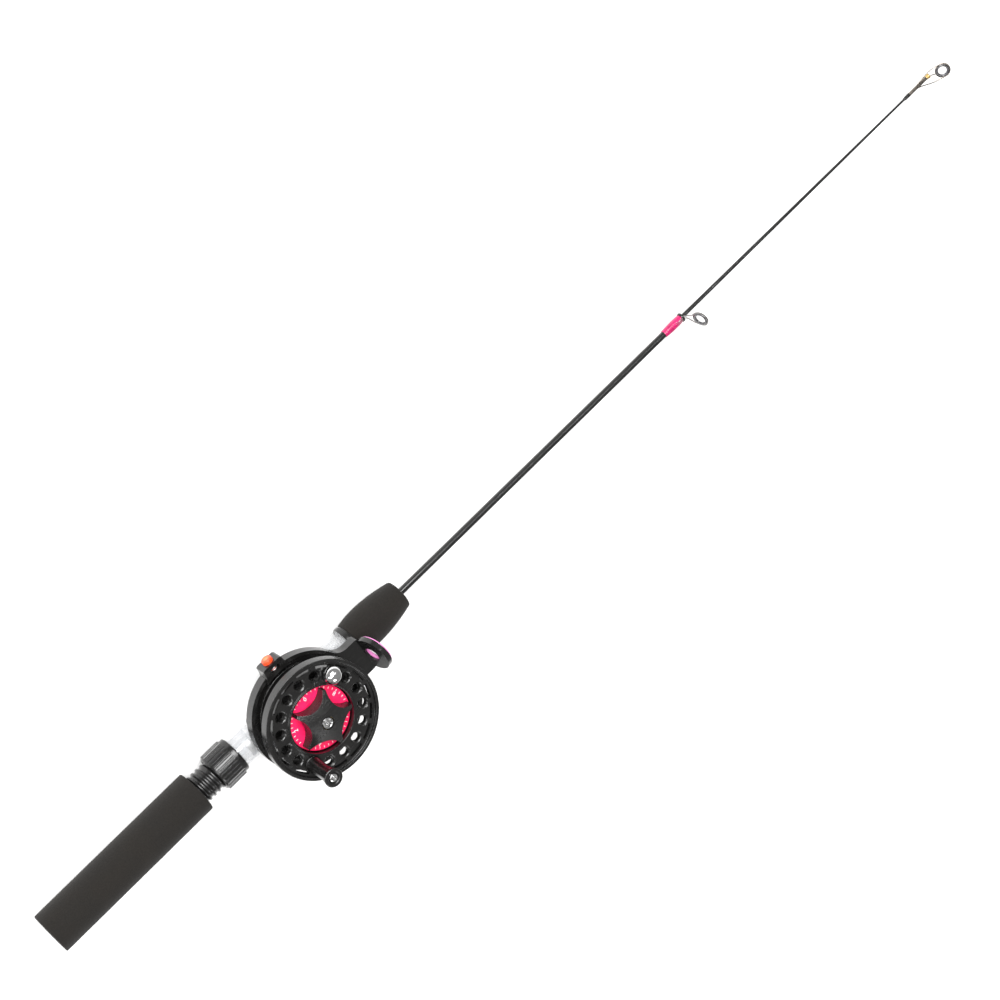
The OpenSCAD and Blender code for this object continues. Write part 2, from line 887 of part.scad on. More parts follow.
module reel_frame() {
    pocket_x = dish_r + frame_wall;
    color("#19191b")
        difference() {
            union() {
                on_reel(frame_base)
                    linear_extrude(frame_h)
                        frame_outline();
                on_reel(frame_base)
                    linear_extrude(boss_h)
                        difference() {
                            boss_outline();
                            circle(r = dish_r);
                        }
                leaning_ring(reel_x + line_guide_ahead, line_guide_z, line_guide_lean)
                    translate([0, 0, -line_guide_t / 2])
                        soft_bar(line_guide_r, line_guide_t, 0.5);
            }
            on_reel(dish_floor)
                cylinder(h = frame_h, r = dish_r);
            on_reel(frame_base - eps)
                cylinder(h = frame_floor + 1, r = axle_r + glue_gap);
            screw_places(frame_base - eps)
                cylinder(h = frame_floor, r = screw_shank_r + glue_gap);
            screw_places(dish_floor - (screw_head_r - screw_shank_r) - glue_gap)
                cylinder(h = screw_head_r - screw_shank_r + 2 * glue_gap,
                    r1 = screw_shank_r + glue_gap, r2 = screw_head_r + 2 * glue_gap);
            translate([reel_x + pocket_x, -arm_w / 2 + frame_wall, frame_base - eps])
                cube([line_guide_ahead - pocket_x - 6.6, arm_w - 2 * frame_wall, frame_h - 2]);
            leaning_ring(reel_x + line_guide_ahead, line_guide_z, line_guide_lean)
                translate([0, 0, -line_guide_t])
                    cylinder(h = 2 * line_guide_t, r = insert_hole_r + 0.4);
            leaning_ring(reel_x + line_guide_ahead, line_guide_z, line_guide_lean)
                translate([0, 0, insert_low - glue_gap])
                    cylinder(h = 2 * line_guide_t, r = insert_r + glue_gap);
            leaning_ring(reel_x + line_guide_ahead, line_guide_z, line_guide_lean)
                translate([0, 0, line_guide_t / 2])
                    cylinder(h = line_guide_t, r = line_guide_r - 0.4 + glue_gap);
            on_button(chamber_y)
                cylinder(h = boss_end, r = button_r + run_gap);
            on_button(dish_r - 1)
                cylinder(h = 4, r = core_r + run_gap);
            translate([reel_x - window_w / 2, chamber_y + 0.25, button_z])
                cube([window_w, window_len, boss_h]);
        }
}

module line_guide_insert() {
    color("#e86fb4")
        leaning_ring(reel_x + line_guide_ahead, line_guide_z, line_guide_lean)
            difference() {
                union() {
                    translate([0, 0, insert_low])
                        cylinder(h = line_guide_t / 2 + 0.4 - insert_low, r = insert_r);
                    translate([0, 0, line_guide_t / 2 + glue_gap])
                        soft_bar(line_guide_r - 0.4, insert_flange_t, 0.3);
                }
                translate([0, 0, -line_guide_t])
                    cylinder(h = 2 * line_guide_t, r = insert_hole_r);
                translate([0, 0, insert_low + insert_throat])
                    cylinder(h = flare, r1 = insert_hole_r, r2 = insert_hole_r + flare);
            }
}

module spool_axle() {
    low = frame_base - axle_nut_t;
    color("#c4c6c8")
        difference() {
            union() {
                on_reel(low)
                    cylinder(h = seat_z + felt_t - low, r = axle_r);
                on_reel(low)
                    cylinder(h = axle_top - low, r = axle_thread_r);
                on_reel(dish_floor)
                    cylinder(h = spool_z - dish_floor - air_gap, r = axle_flange_r);
            }
            on_reel(axle_top - 4)
                cylinder(h = 5, r = 0.9 + glue_gap);
        }
}

module axle_nut() {
    color("#b9bbbe")
        on_reel(frame_base - axle_nut_t)
            difference() {
                cylinder(h = axle_nut_t, r = axle_nut_r, $fn = 6);
                translate([0, 0, -eps])
                    cylinder(h = axle_nut_t + 2 * eps, r = axle_r + glue_gap);
            }
}

module centre_screw() {
    head_t = 1.4;
    color("#c9c7c0")
        on_reel(screw_recess_z + 0.1)
            difference() {
                union() {
                    translate([0, 0, -3.5])
                        cylinder(h = 4, r = 0.9);
                    soft_bar(screw_recess_r - air_gap, head_t, 0.3);
                }
                translate([0, 0, head_t - 0.6])
                    cylinder(h = 1, r = 1.5);
            }
}

// ---- spool ----

// Half section of the spool, radius against height above its back face
module spool_section() {
    seat_h = seat_z - spool_z;
    web_h = web_z - spool_z;
    front_h = front_z - spool_z;
    face_h = face_z - spool_z;
    arbor_in_r = arbor_r - arbor_wall;
    square([hub_r, seat_h]);
    translate([arbor_in_r, 0])
        square([back_flange_r - arbor_in_r, back_flange_t]);
    translate([arbor_in_r, 0])
        square([arbor_wall, seat_h - 1]);
    translate([0, seat_h - seat_t])
        square([recess_r + lip_wall, seat_t]);
    translate([recess_r, seat_h - seat_t])
        square([lip_wall, face_h + lip_h - seat_h + seat_t]);
    translate([recess_r, web_h])
        square([spool_r - recess_r - 0.5, web_t]);
    translate([spool_r - rim_wall, front_h])
        square([rim_wall, rim_h]);
}

module spool() {
    color("#18181a")
        difference() {
            on_reel(spool_z)
                rotate_extrude()
                    spool_section();
            on_reel(spool_z - eps)
                cylinder(h = groove_w * 2, r = bush_r + glue_gap);
            for (i = [0 : hole_count - 1])
                if (i % (hole_count / 2) != 0)
                    round_reel(hole_ring_r, crank_angle + i * 360 / hole_count, 0) {
                        translate([0, 0, web_z - 1])
                            cylinder(h = web_t + 2, r = hole_d / 2, $fn = 32);
                        translate([0, 0, face_z - (sink_d - hole_d) / 2])
                            cylinder(h = (sink_d - hole_d) / 2 + eps, r1 = hole_d / 2, r2 = sink_d / 2,
                                $fn = 32);
                    }
            for (i = [0, 1])
                round_reel(hole_ring_r, crank_angle + i * 180, web_z - 1)
                    cylinder(h = web_t + 2, r = post_r + glue_gap, $fn = 32);
            for (i = [0 : hole_count - 1])
                on_reel(web_z - 1)
                    rotate([0, 0, crank_angle + (i + 0.5) * 360 / hole_count - slot_span / 2])
                        rotate_extrude(angle = slot_span)
                            translate([slot_in_r, 0])
                                square([slot_out_r - slot_in_r, web_t + 2]);
        }
}

module spool_bush() {
    color("#b08d4c")
        on_reel(spool_z)
            tube(bush_r, axle_r + run_gap, seat_z - spool_z);
}

module dial_ring() {
    color("#d81a4c")
        on_reel(seat_z)
            difference() {
                soft_bar(dial_r, dial_t, 0.3);
                translate([0, 0, -eps])
                    cylinder(h = dial_t + 2 * eps, r = dial_hole_r);
            }
}

module drag_washer() {
    color("#6f6a60")
        on_reel(seat_z)
            tube(drag_r, axle_r + run_gap + 0.4, felt_t);
}

module drag_plate() {
    color("#bfc1c4")
        on_reel(seat_z + felt_t + 0.05)
            tube(drag_r, axle_thread_r + glue_gap, plate_t);
}

module counterweight() {
    dome_r = (weight_r * weight_r + pow(weight_h - 1.6, 2)) / (2 * (weight_h - 1.6));
    color("#d5d7da")
        round_reel(hole_ring_r, crank_angle + 180, 0)
            union() {
                translate([0, 0, web_z])
                    cylinder(h = web_t + 1, r = post_r);
                translate([0, 0, face_z + glue_gap])
                    cylinder(h = weight_neck + 0.1, r = 3);
                translate([0, 0, face_z + glue_gap + weight_neck])
                    intersection() {
                        cylinder(h = weight_h, r = weight_r);
                        translate([0, 0, weight_h - dome_r])
                            sphere(r = dome_r);
                    }
            }
}

module crank_post() {
    color("#c9cbcd")
        round_reel(hole_ring_r, crank_angle, 0)
            difference() {
                union() {
                    translate([0, 0, web_z])
                        cylinder(h = knob_top - post_head_t - web_z, r = post_r);
                    translate([0, 0, knob_top - post_head_t])
                        soft_bar(post_head_r, post_head_t, 0.4);
                }
                for (a = [0, 90])
                    rotate([0, 0, a])
                        translate([-1.3, -0.25, knob_top - 0.7])
                            cube([2.6, 0.5, 1]);
            }
}

module crank_washer() {
    color("#b9bbbe")
        round_reel(hole_ring_r, crank_angle, face_z + glue_gap)
            tube(3.7, post_r + glue_gap, 0.35);
}

// ---- knobs ----

// Crank knob's radius at a share t of its length
function knob_radius(t) =
    knob_waist_d / 2 + (knob_r - knob_waist_d / 2) * pow(abs(2 * t - 0.85) / 1.15, 2);

module crank_knob() {
    steps = 16;
    recess_t = post_head_t + 0.15;
    color("#141415")
        round_reel(hole_ring_r, crank_angle, knob_z0)
            difference() {
                rotate_extrude()
                    polygon(concat(
                        [[0, 0], [knob_radius(0) - 0.4, 0]],
                        [for (i = [0 : steps])
                            let (t = 0.03 + 0.93 * i / steps)
                            [knob_radius(t), t * knob_len]],
                        [[knob_radius(1) - 0.6, knob_len], [0, knob_len]]));
                translate([0, 0, -eps])
                    cylinder(h = knob_len, r = post_r + run_gap);
                translate([0, 0, knob_len - recess_t])
                    cylinder(h = recess_t + eps, r = post_head_r + air_gap);
            }
}

// Star outline: a disc with a hollow between each two points
module star_outline() {
    half_tip = 3.2;
    edge_x = star_r * cos(36 - half_tip);
    edge_y = star_r * sin(36 - half_tip);
    hollow_x = (edge_x * edge_x + edge_y * edge_y - star_waist_r * star_waist_r)
        / (2 * (edge_x - star_waist_r));
    difference() {
        circle(r = star_r);
        for (i = [0 : 4])
            rotate([0, 0, 36 + i * 72])
                translate([hollow_x, 0])
                    circle(r = hollow_x - star_waist_r);
    }
}

module star_knob() {
    dome_r = (star_r * star_r + star_fall * star_fall) / (2 * star_fall);
    color("#1a1a1c")
        on_reel(knob_z)
            difference() {
                intersection() {
                    rotate([0, 0, star_angle])
                        linear_extrude(star_h)
                            star_outline();
                    translate([0, 0, star_h - dome_r])
                        sphere(r = dome_r);
                }
                translate([0, 0, -eps])
                    cylinder(h = star_h, r = axle_thread_r + air_gap);
                translate([0, 0, -eps])
                    cylinder(h = cavity_h, r = cavity_r);
                translate([0, 0, cavity_h - 1])
                    cylinder(h = screw_recess_z - knob_z - cavity_h + 0.9, r = insert_nut_r + glue_gap);
                translate([0, 0, screw_recess_z - knob_z])
                    cylinder(h = star_h, r = screw_recess_r);
            }
}

module knob_insert() {
    color("#b8963e")
        on_reel(knob_z + cavity_h)
            tube(insert_nut_r, axle_thread_r + run_gap, screw_recess_z - knob_z - cavity_h - 0.2);
}

module drag_spring() {
    low = seat_z + felt_t + plate_t + 0.1;
    color("#b0b2b5")
        on_reel(low)
            tube(4.1, 3.3, knob_z + cavity_h - low - 0.05);
}

// ---- push button ----

module release_button() {
    color("#f0441c")
        union() {
            on_button(cap_y)
                soft_bar(button_r, boss_end + button_out - cap_y, 0.5);
            on_button(shoe_r + glue_gap)
                cylinder(h = cap_y - shoe_r, r = core_r);
        }
}

module button_spring() {
    color("#8f9194")
        on_button(chamber_y + 0.05)
            tube(core_r + 0.15 + 2 * spring_wire, core_r + 0.15, cap_y - chamber_y - 0.1);
}

module brake_shoe() {
    color("#26221f")
        intersection() {
            on_reel(button_z - shoe_h / 2)
                tube(shoe_r, shoe_r - shoe_t, shoe_h);
            translate([reel_x - shoe_w / 2, 0, frame_base])
                cube([shoe_w, frame_r, boss_h]);
        }
}

rear_grip();
butt_plug();
handle_tube();
threaded_sleeve();
seat_tube();
fixed_hood();
fore_collar();
foregrip();
blank_bushing();
lower_blank();
guide_wrap();
wrap_trim();
guide_frame();
guide_ring();
reel_foot();
foot_plate();
foot_screws();
reel_frame();
line_guide_insert();
spool_axle();
axle_nut();
centre_screw();
drag_plate();
sliding_hood();
lock_nut();
upper_blank();
tip_sleeve();
tip_top_frame();
tip_ring();
spool();
spool_bush();
dial_ring();
drag_washer();
counterweight();
crank_post();
crank_washer();
crank_knob();
star_knob();
knob_insert();
drag_spring();
release_button();
button_spring();
brake_shoe();
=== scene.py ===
# %% [markdown]
# # An ice fishing rod with a centre-pin reel
#
# The rod lies along +X with the middle of its butt at the origin, and the reel stands on it
# along +Z. The CAD model is the fixed frame: it says where each piece is and what moves with
# what. This lesson builds the pieces that are seen, one after the other, in the places that
# the frame gives, and then gives each its finish.

# %% Load the frame
import math

import bpy
from mathutils import Matrix, Quaternion, Vector


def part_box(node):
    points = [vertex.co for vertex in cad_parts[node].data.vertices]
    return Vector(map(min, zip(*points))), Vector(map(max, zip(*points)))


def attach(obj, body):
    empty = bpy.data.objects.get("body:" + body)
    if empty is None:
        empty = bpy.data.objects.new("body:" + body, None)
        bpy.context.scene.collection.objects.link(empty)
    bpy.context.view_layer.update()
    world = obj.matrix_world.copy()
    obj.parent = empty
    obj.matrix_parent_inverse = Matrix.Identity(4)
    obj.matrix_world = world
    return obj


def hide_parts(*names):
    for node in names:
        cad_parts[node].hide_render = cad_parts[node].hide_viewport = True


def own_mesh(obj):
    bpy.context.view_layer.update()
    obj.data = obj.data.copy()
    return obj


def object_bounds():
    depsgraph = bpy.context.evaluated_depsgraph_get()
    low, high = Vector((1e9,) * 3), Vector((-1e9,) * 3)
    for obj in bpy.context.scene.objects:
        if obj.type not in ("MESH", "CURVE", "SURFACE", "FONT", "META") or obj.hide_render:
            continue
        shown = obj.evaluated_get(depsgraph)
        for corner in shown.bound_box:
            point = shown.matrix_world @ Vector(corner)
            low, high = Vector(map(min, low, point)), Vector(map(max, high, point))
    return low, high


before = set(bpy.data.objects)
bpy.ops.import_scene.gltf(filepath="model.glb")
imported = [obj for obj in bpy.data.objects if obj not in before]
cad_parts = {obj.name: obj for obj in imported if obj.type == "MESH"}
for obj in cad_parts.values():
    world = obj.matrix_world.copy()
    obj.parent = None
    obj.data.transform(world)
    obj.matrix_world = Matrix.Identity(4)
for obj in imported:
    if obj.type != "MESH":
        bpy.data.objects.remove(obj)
cad_low, cad_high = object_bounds()
print("CAD model:", [round(side * 1000, 1) for side in cad_high - cad_low], "mm")

# %% [markdown]
# ## Measure the frame
#
# Blender works in metres, but a reel is easier to think about in millimetres, so every size
# below is in millimetres and the helpers turn it into metres. The places come from the boxes
# of the CAD nodes: if the design changes, the pieces follow it.

# %% Millimetres and node boxes
MM = 0.001
X, Y, Z = Vector((1, 0, 0)), Vector((0, 1, 0)), Vector((0, 0, 1))


def node_box(node):
    """The lowest and highest corner of a CAD node, in millimetres."""
    low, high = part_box(node)
    return low / MM, high / MM


def span(node, axis):
    """Where a CAD node starts and ends along one axis (0 is X, 1 is Y, 2 is Z)."""
    low, high = node_box(node)
    return low[axis], high[axis]


def half_width_x(node):
    """Half of a node's size along the rod, for what is turned round another axis."""
    low, high = node_box(node)
    return (high.x - low.x) / 2


def half_width(node):
    """A turned node's radius, from its size across."""
    low, high = node_box(node)
    return (high.y - low.y) / 2


grip_end = span("rear_grip", 0)[1]
nut_start, nut_end = span("lock_nut", 0)
sleeve_end = span("threaded_sleeve", 0)[1]
collar_start, collar_end = span("fore_collar", 0)
foregrip_end = span("foregrip", 0)[1]
mouth = span("lower_blank", 0)[1]
reel_x = sum(span("spool", 0)) / 2
frame_base = span("reel_frame", 2)[0]
print("reel axis at X", round(reel_x, 1), "and the rod's mouth at X", round(mouth, 1))

# %% [markdown]
# ## Modelling helpers
#
# Most of this object was made on a lathe or in a mould, so a few helpers cover it: draw a line
# corner by corner, spin it round an axis, pull an outline up into a plate, cut one shape with
# another, and round the edges. They use the same operators as the menus do. Each one first
# leaves edit mode and deselects everything, because an operator acts on all that is selected.


# %% Select and settle
def clear_selection():
    if bpy.context.mode != "OBJECT":
        bpy.ops.object.mode_set(mode="OBJECT")
    bpy.ops.object.select_all(action="DESELECT")


def only(obj):
    """Makes obj the one selected and active object."""
    clear_selection()
    obj.select_set(True)
    bpy.context.view_layer.objects.active = obj
    return obj


def settled(name):
    """Names the new primitive, and moves its place and turn into its mesh."""
    obj = bpy.context.object
    obj.name = obj.data.name = name
    bpy.ops.object.transform_apply(location=True, rotation=True, scale=True)
    return obj


def placed(obj, at, axis):
    """Turns a piece made round Z so that it runs along axis, and carries it to a point."""
    only(obj)
    turn = Z.rotation_difference(Vector(axis)).to_matrix().to_4x4()
    obj.matrix_world = Matrix.Translation(Vector(at) * MM) @ turn
    bpy.ops.object.transform_apply(location=True, rotation=True, scale=True)
    return obj


# %% [markdown]
# A lathe part starts as a bar and a moulded part as a block. Blender adds both by centre and
# size, but a drawing gives their ends, so these two helpers turn ends into a place, a length
# and a direction. A bar is a cone with two radii, so the same helper makes tapers and cutters.

# %% Primitives by their ends
def bar(name, start, end, radius, end_radius=None, steps=96):
    """A round bar or a cone between two points."""
    start, end = Vector(start) * MM, Vector(end) * MM
    clear_selection()
    bpy.ops.mesh.primitive_cone_add(
        vertices=steps,
        radius1=radius * MM,
        radius2=(radius if end_radius is None else end_radius) * MM,
        depth=(end - start).length,
        location=(start + end) / 2,
        rotation=Z.rotation_difference(end - start).to_euler(),
    )
    return settled(name)


def block(name, low, high):
    """A box between two corners."""
    low, high = Vector(low) * MM, Vector(high) * MM
    clear_selection()
    bpy.ops.mesh.primitive_cube_add(size=1, location=(low + high) / 2, scale=high - low)
    return settled(name)


# %% [markdown]
# A single point that is extruded again and again draws any line, as a pencil does. Spun, the
# line becomes a turned piece; filled and extruded, it becomes a plate. A primitive with its
# points moved would do for one piece, but a line can be read as the piece's section.

# %% Draw, spin and pull
TOUCHING = 1e-6


def drawn(name, points):
    """Draws a line from point to point, and stays in edit mode."""
    points = [Vector(p) * MM for p in points]
    clear_selection()
    bpy.ops.mesh.primitive_plane_add(size=MM, location=points[0])
    obj = settled(name)
    bpy.ops.object.mode_set(mode="EDIT")
    bpy.ops.mesh.select_mode(type="VERT")
    bpy.ops.mesh.select_all(action="SELECT")
    bpy.ops.mesh.merge(type="CENTER")
    for here, there in zip(points, points[1:]):
        bpy.ops.mesh.extrude_vertices_move(TRANSFORM_OT_translate={"value": there - here})
    bpy.ops.mesh.select_all(action="SELECT")
    bpy.ops.mesh.remove_doubles(threshold=TOUCHING)
    return obj


def turned(name, profile, at=(0, 0, 0), axis=Z, steps=96, closed=True):
    """Spins a profile of (radius, height) points round an axis, as a lathe does."""
    line = [(r, 0, h) for r, h in profile]
    obj = drawn(name, line + line[:1] if closed else line)
    bpy.ops.mesh.select_all(action="SELECT")
    bpy.ops.mesh.spin(steps=steps, angle=math.tau, center=(0, 0, 0), axis=(0, 0, 1))
    bpy.ops.mesh.select_all(action="SELECT")
    bpy.ops.mesh.remove_doubles(threshold=TOUCHING)
    bpy.ops.mesh.normals_make_consistent(inside=False)
    return placed(obj, at, axis)


def plate(name, outline, low, high, at=(0, 0, 0), axis=Z):
    """Fills an outline of (x, y) points and pulls it from one height to another."""
    line = [(x, y, low) for x, y in outline]
    obj = drawn(name, line + line[:1])
    bpy.ops.mesh.select_all(action="SELECT")
    bpy.ops.mesh.edge_face_add()
    lift = (0, 0, (high - low) * MM)
    bpy.ops.mesh.extrude_region_move(TRANSFORM_OT_translate={"value": lift})
    bpy.ops.mesh.select_all(action="SELECT")
    bpy.ops.mesh.normals_make_consistent(inside=False)
    return placed(obj, at, axis)


def arc(x, y, radius, start, end, steps):
    """Points on a circle from one angle to another, in degrees."""
    turns = [math.radians(start + (end - start) * i / steps) for i in range(steps + 1)]
    return [(x + radius * math.cos(a), y + radius * math.sin(a)) for a in turns]


# %% [markdown]
# Booleans drill bores and weld shapes, and a Bevel modifier then breaks the edges, as no real
# edge is perfectly sharp. Weighted normals keep big flat faces flat beside the small bevel
# faces, which would otherwise tint them with a false gradient.

# %% Cut, join and round off
def shaped(obj, operation, *tools):
    """Cuts obj with other pieces, joins them to it or keeps what they share."""
    for tool in tools:
        only(obj)
        step = obj.modifiers.new("Shape", "BOOLEAN")
        step.operation = operation
        step.object = tool
        step.solver = "EXACT"
        bpy.ops.object.modifier_apply(modifier=step.name)
        bpy.data.objects.remove(tool)
    return obj


def cut(obj, *tools):
    return shaped(obj, "DIFFERENCE", *tools)


def fused(obj, *tools):
    return shaped(obj, "UNION", *tools)


def tidied(obj):
    """Merges what touches, and joins the faces that lie in one plane."""
    only(obj)
    bpy.ops.object.mode_set(mode="EDIT")
    bpy.ops.mesh.select_all(action="SELECT")
    bpy.ops.mesh.remove_doubles(threshold=TOUCHING)
    bpy.ops.mesh.dissolve_limited(angle_limit=math.radians(0.2))
    bpy.ops.object.mode_set(mode="OBJECT")
    return obj


def smoothed(obj, angle=30):
    """Shades gentle corners smoothly, and keeps large flat faces flat."""
    only(obj)
    bpy.ops.object.shade_smooth_by_angle(angle=math.radians(angle))
    flat = obj.modifiers.new("Flat faces stay flat", "WEIGHTED_NORMAL")
    flat.keep_sharp = True
    bpy.ops.object.modifier_apply(modifier=flat.name)
    return obj


def rounded(obj, width, segments=3, angle=30):
    """Rounds every edge that is sharper than an angle, and shades the rest smoothly."""
    only(obj)
    edge = obj.modifiers.new("Rounded edges", "BEVEL")
    edge.width = width * MM
    edge.segments = segments
    edge.limit_method = "ANGLE"
    edge.angle_limit = math.radians(angle)
    edge.miter_outer = "MITER_ARC"
    bpy.ops.object.modifier_apply(modifier=edge.name)
    return smoothed(obj, angle)


def joined(name, pieces):
    """Makes several pieces one object."""
    only(pieces[0])
    for piece in pieces:
        piece.select_set(True)
    if len(pieces) > 1:
        bpy.ops.object.join()
    obj = bpy.context.object
    obj.name = obj.data.name = name
    return obj


def copied_round(obj, count, centre, axis=Z, leave_out=()):
    """Copies a piece round an axis. Each copy has a mesh of its own."""
    middle = Matrix.Translation(Vector(centre) * MM)
    copies = []
    for i in range(count):
        if i not in leave_out:
            copy = obj.copy()
            copy.data = obj.data.copy()
            turn = Matrix.Rotation(math.tau * i / count, 4, axis)
            copy.data.transform(middle @ turn @ middle.inverted())
            bpy.context.scene.collection.objects.link(copy)
            copies.append(copy)
    bpy.data.objects.remove(obj)
    return copies


# %% [markdown]
# A guide's legs and a coil spring are bent from round wire, so they are curves with a bevel
# depth: the path is the wire's middle line. Converting to a mesh and merging closes the ends.
# Extruding a circle along the bends by hand would pinch it at each corner.

# %% Bend a wire
def wire(name, points, radius, closed=False, sides=4):
    """A round wire along a smooth curve, made a mesh with closed ends."""
    curve = bpy.data.curves.new(name, "CURVE")
    curve.dimensions = "3D"
    curve.bevel_depth = radius * MM
    curve.bevel_resolution = sides
    curve.resolution_u = 6
    curve.use_fill_caps = not closed
    line = curve.splines.new("NURBS")
    line.points.add(len(points) - 1)
    for knot, point in zip(line.points, points):
        knot.co = (*(Vector(point) * MM), 1)
    line.order_u = 3
    line.use_endpoint_u = not closed
    line.use_cyclic_u = closed
    obj = bpy.data.objects.new(name, curve)
    bpy.context.scene.collection.objects.link(obj)
    only(obj)
    bpy.ops.object.convert(target="MESH")
    bpy.ops.object.mode_set(mode="EDIT")
    bpy.ops.mesh.select_all(action="SELECT")
    bpy.ops.mesh.remove_doubles(threshold=TOUCHING)
    bpy.ops.mesh.normals_make_consistent(inside=False)
    bpy.ops.object.mode_set(mode="OBJECT")
    bpy.ops.object.shade_smooth_by_angle(angle=math.radians(50))
    return bpy.context.object


def coil(name, radius, wire_radius, low, high, turns, at, axis=Z):
    """A coil spring: a helix whose first and last turn lie flat."""
    knots = turns * 12
    points = []
    for i in range(knots + 1):
        around = math.tau * turns * i / knots
        rise = min(max((i / knots * turns - 0.8) / (turns - 1.6), 0), 1)
        height = low + wire_radius + (high - low - 2 * wire_radius) * rise
        points.append((radius * math.cos(around), radius * math.sin(around), height))
    return placed(wire(name, points, wire_radius, sides=3), at, axis)


# %% [markdown]
# ## Shader helpers
#
# A finish is a Principled shader whose colour, roughness and bump vary over the surface. The
# pattern reads Object coordinates, which are metres in the rod's own frame, so a noise scale
# of 1000 gives grain of about a millimetre. `Reading` wraps a socket, so that sums on it are
# written as Python and become Math nodes.


# %% Sockets that can be added up
class Reading:
    """A socket of a finish's node tree, which takes part in sums."""

    def __init__(self, finish, socket):
        self.finish, self.socket = finish, socket

    def math(self, operation, first, second=0.0):
        return self.finish.add("ShaderNodeMath", {"operation": operation}, {0: first, 1: second})

    def __add__(self, other):
        return self.math("ADD", self, other)

    def __radd__(self, other):
        return self.math("ADD", other, self)

    def __sub__(self, other):
        return self.math("SUBTRACT", self, other)

    def __rsub__(self, other):
        return self.math("SUBTRACT", other, self)

    def __mul__(self, other):
        return self.math("MULTIPLY", self, other)

    def __rmul__(self, other):
        return self.math("MULTIPLY", other, self)


# %% [markdown]
# Every finish starts the same way: a Principled shader, the place on the object, and a few
# patterns. Fixed numbers go on the shader's own sockets, and only what varies over the surface
# is linked. Helpers for noise, cells, ranges and bump keep each finish down to a few lines.

# %% A finish
class Finish:
    """A material and its Principled shader."""

    def __init__(self, name, **constants):
        self.material = bpy.data.materials.new(name)
        self.material.use_nodes = True
        self.tree = self.material.node_tree
        self.shader = self.tree.nodes["Principled BSDF"]
        self.place = self.add("ShaderNodeTexCoord", output="Object")
        for socket, value in constants.items():
            self.shader.inputs[socket.replace("_", " ")].default_value = value

    def add(self, kind, settings=None, sockets=None, output=0):
        """Adds a node, sets it up, and fills its sockets with values or links."""
        node = self.tree.nodes.new(kind)
        for name, value in (settings or {}).items():
            setattr(node, name, value)
        for name, value in (sockets or {}).items():
            self.fill(node.inputs[name], value)
        return Reading(self, node.outputs[output])

    def fill(self, socket, value):
        if isinstance(value, Reading):
            self.tree.links.new(value.socket, socket)
        else:
            socket.default_value = value

    def drive(self, **sockets):
        """Links what varies over the surface to the shader."""
        for name, value in sockets.items():
            self.fill(self.shader.inputs[name.replace("_", " ")], value)

    def noise(self, scale, detail=3.0, roughness=0.5, where=None):
        sockets = {
            "Vector": where or self.place,
            "Scale": scale,
            "Detail": detail,
            "Roughness": roughness,
        }
        return self.add("ShaderNodeTexNoise", sockets=sockets)

    def cells(self, scale, where=None):
        sockets = {"Vector": where or self.place, "Scale": scale}
        return self.add("ShaderNodeTexVoronoi", sockets=sockets, output="Distance")

    def stretched(self, x, y, z):
        """The place, stretched along the axes, for streaks and fibres."""
        sockets = {"Vector": self.place, "Scale": (x, y, z)}
        return self.add("ShaderNodeMapping", sockets=sockets)

    def spread(self, value, low, high, new_low=0.0, new_high=1.0):
        """Maps a range of values to another, and stops at its ends."""
        sockets = {0: value, 1: low, 2: high, 3: new_low, 4: new_high}
        return self.add("ShaderNodeMapRange", {"clamp": True}, sockets)

    def mixed(self, mask, first, second):
        """One colour where the mask is 0, another where it is 1."""
        node = self.tree.nodes.new("ShaderNodeMix")
        node.data_type = "RGBA"
        self.fill(node.inputs[0], mask)
        self.fill(node.inputs[6], first)
        self.fill(node.inputs[7], second)
        return Reading(self, node.outputs[2])

    def bump(self, height, depth, strength=1.0):
        """Relief from a height that runs from 0 to 1, over a depth in millimetres."""
        sockets = {"Height": height, "Distance": depth * MM, "Strength": strength}
        self.drive(Normal=self.add("ShaderNodeBump", sockets=sockets))


def grey(level, warmth=0.0):
    return (level * (1 + warmth), level, level * (1 - warmth), 1)


# %% [markdown]
# ## Finishes
#
# The grips are closed-cell foam: nearly black, warm and matt, with fine pores that catch a
# little light. Pores are small cells in the bump, and slow noise makes the colour uneven,
# as sanding leaves it.


# %% Foam
def make_foam():
    foam = Finish("eva_foam", Specular_IOR_Level=0.2, Sheen_Weight=0.04, Sheen_Roughness=0.6)
    pores = foam.cells(2300)
    grain = foam.noise(1500, detail=4, roughness=0.7)
    patches = foam.noise(60, detail=2)
    shade = foam.spread(0.6 * grain + 0.4 * patches, 0.3, 0.7)
    foam.drive(
        Base_Color=foam.mixed(shade, grey(0.0042, 0.16), grey(0.0115, 0.16)),
        Roughness=foam.spread(patches, 0.3, 0.7, 0.82, 0.95),
    )
    foam.bump(0.55 * foam.spread(pores, 0.0, 0.5) + 0.45 * grain, 0.16, 0.8)
    return foam.material


foam = make_foam()

# %% [markdown]
# Moulded black plastic is glossy but never perfect: its gloss wanders, it has a slight
# orange peel, and handling leaves hair-fine scratches. The same recipe with other numbers
# gives the shiny frame and spool, the satin nut and thread, and the pitted star knob.


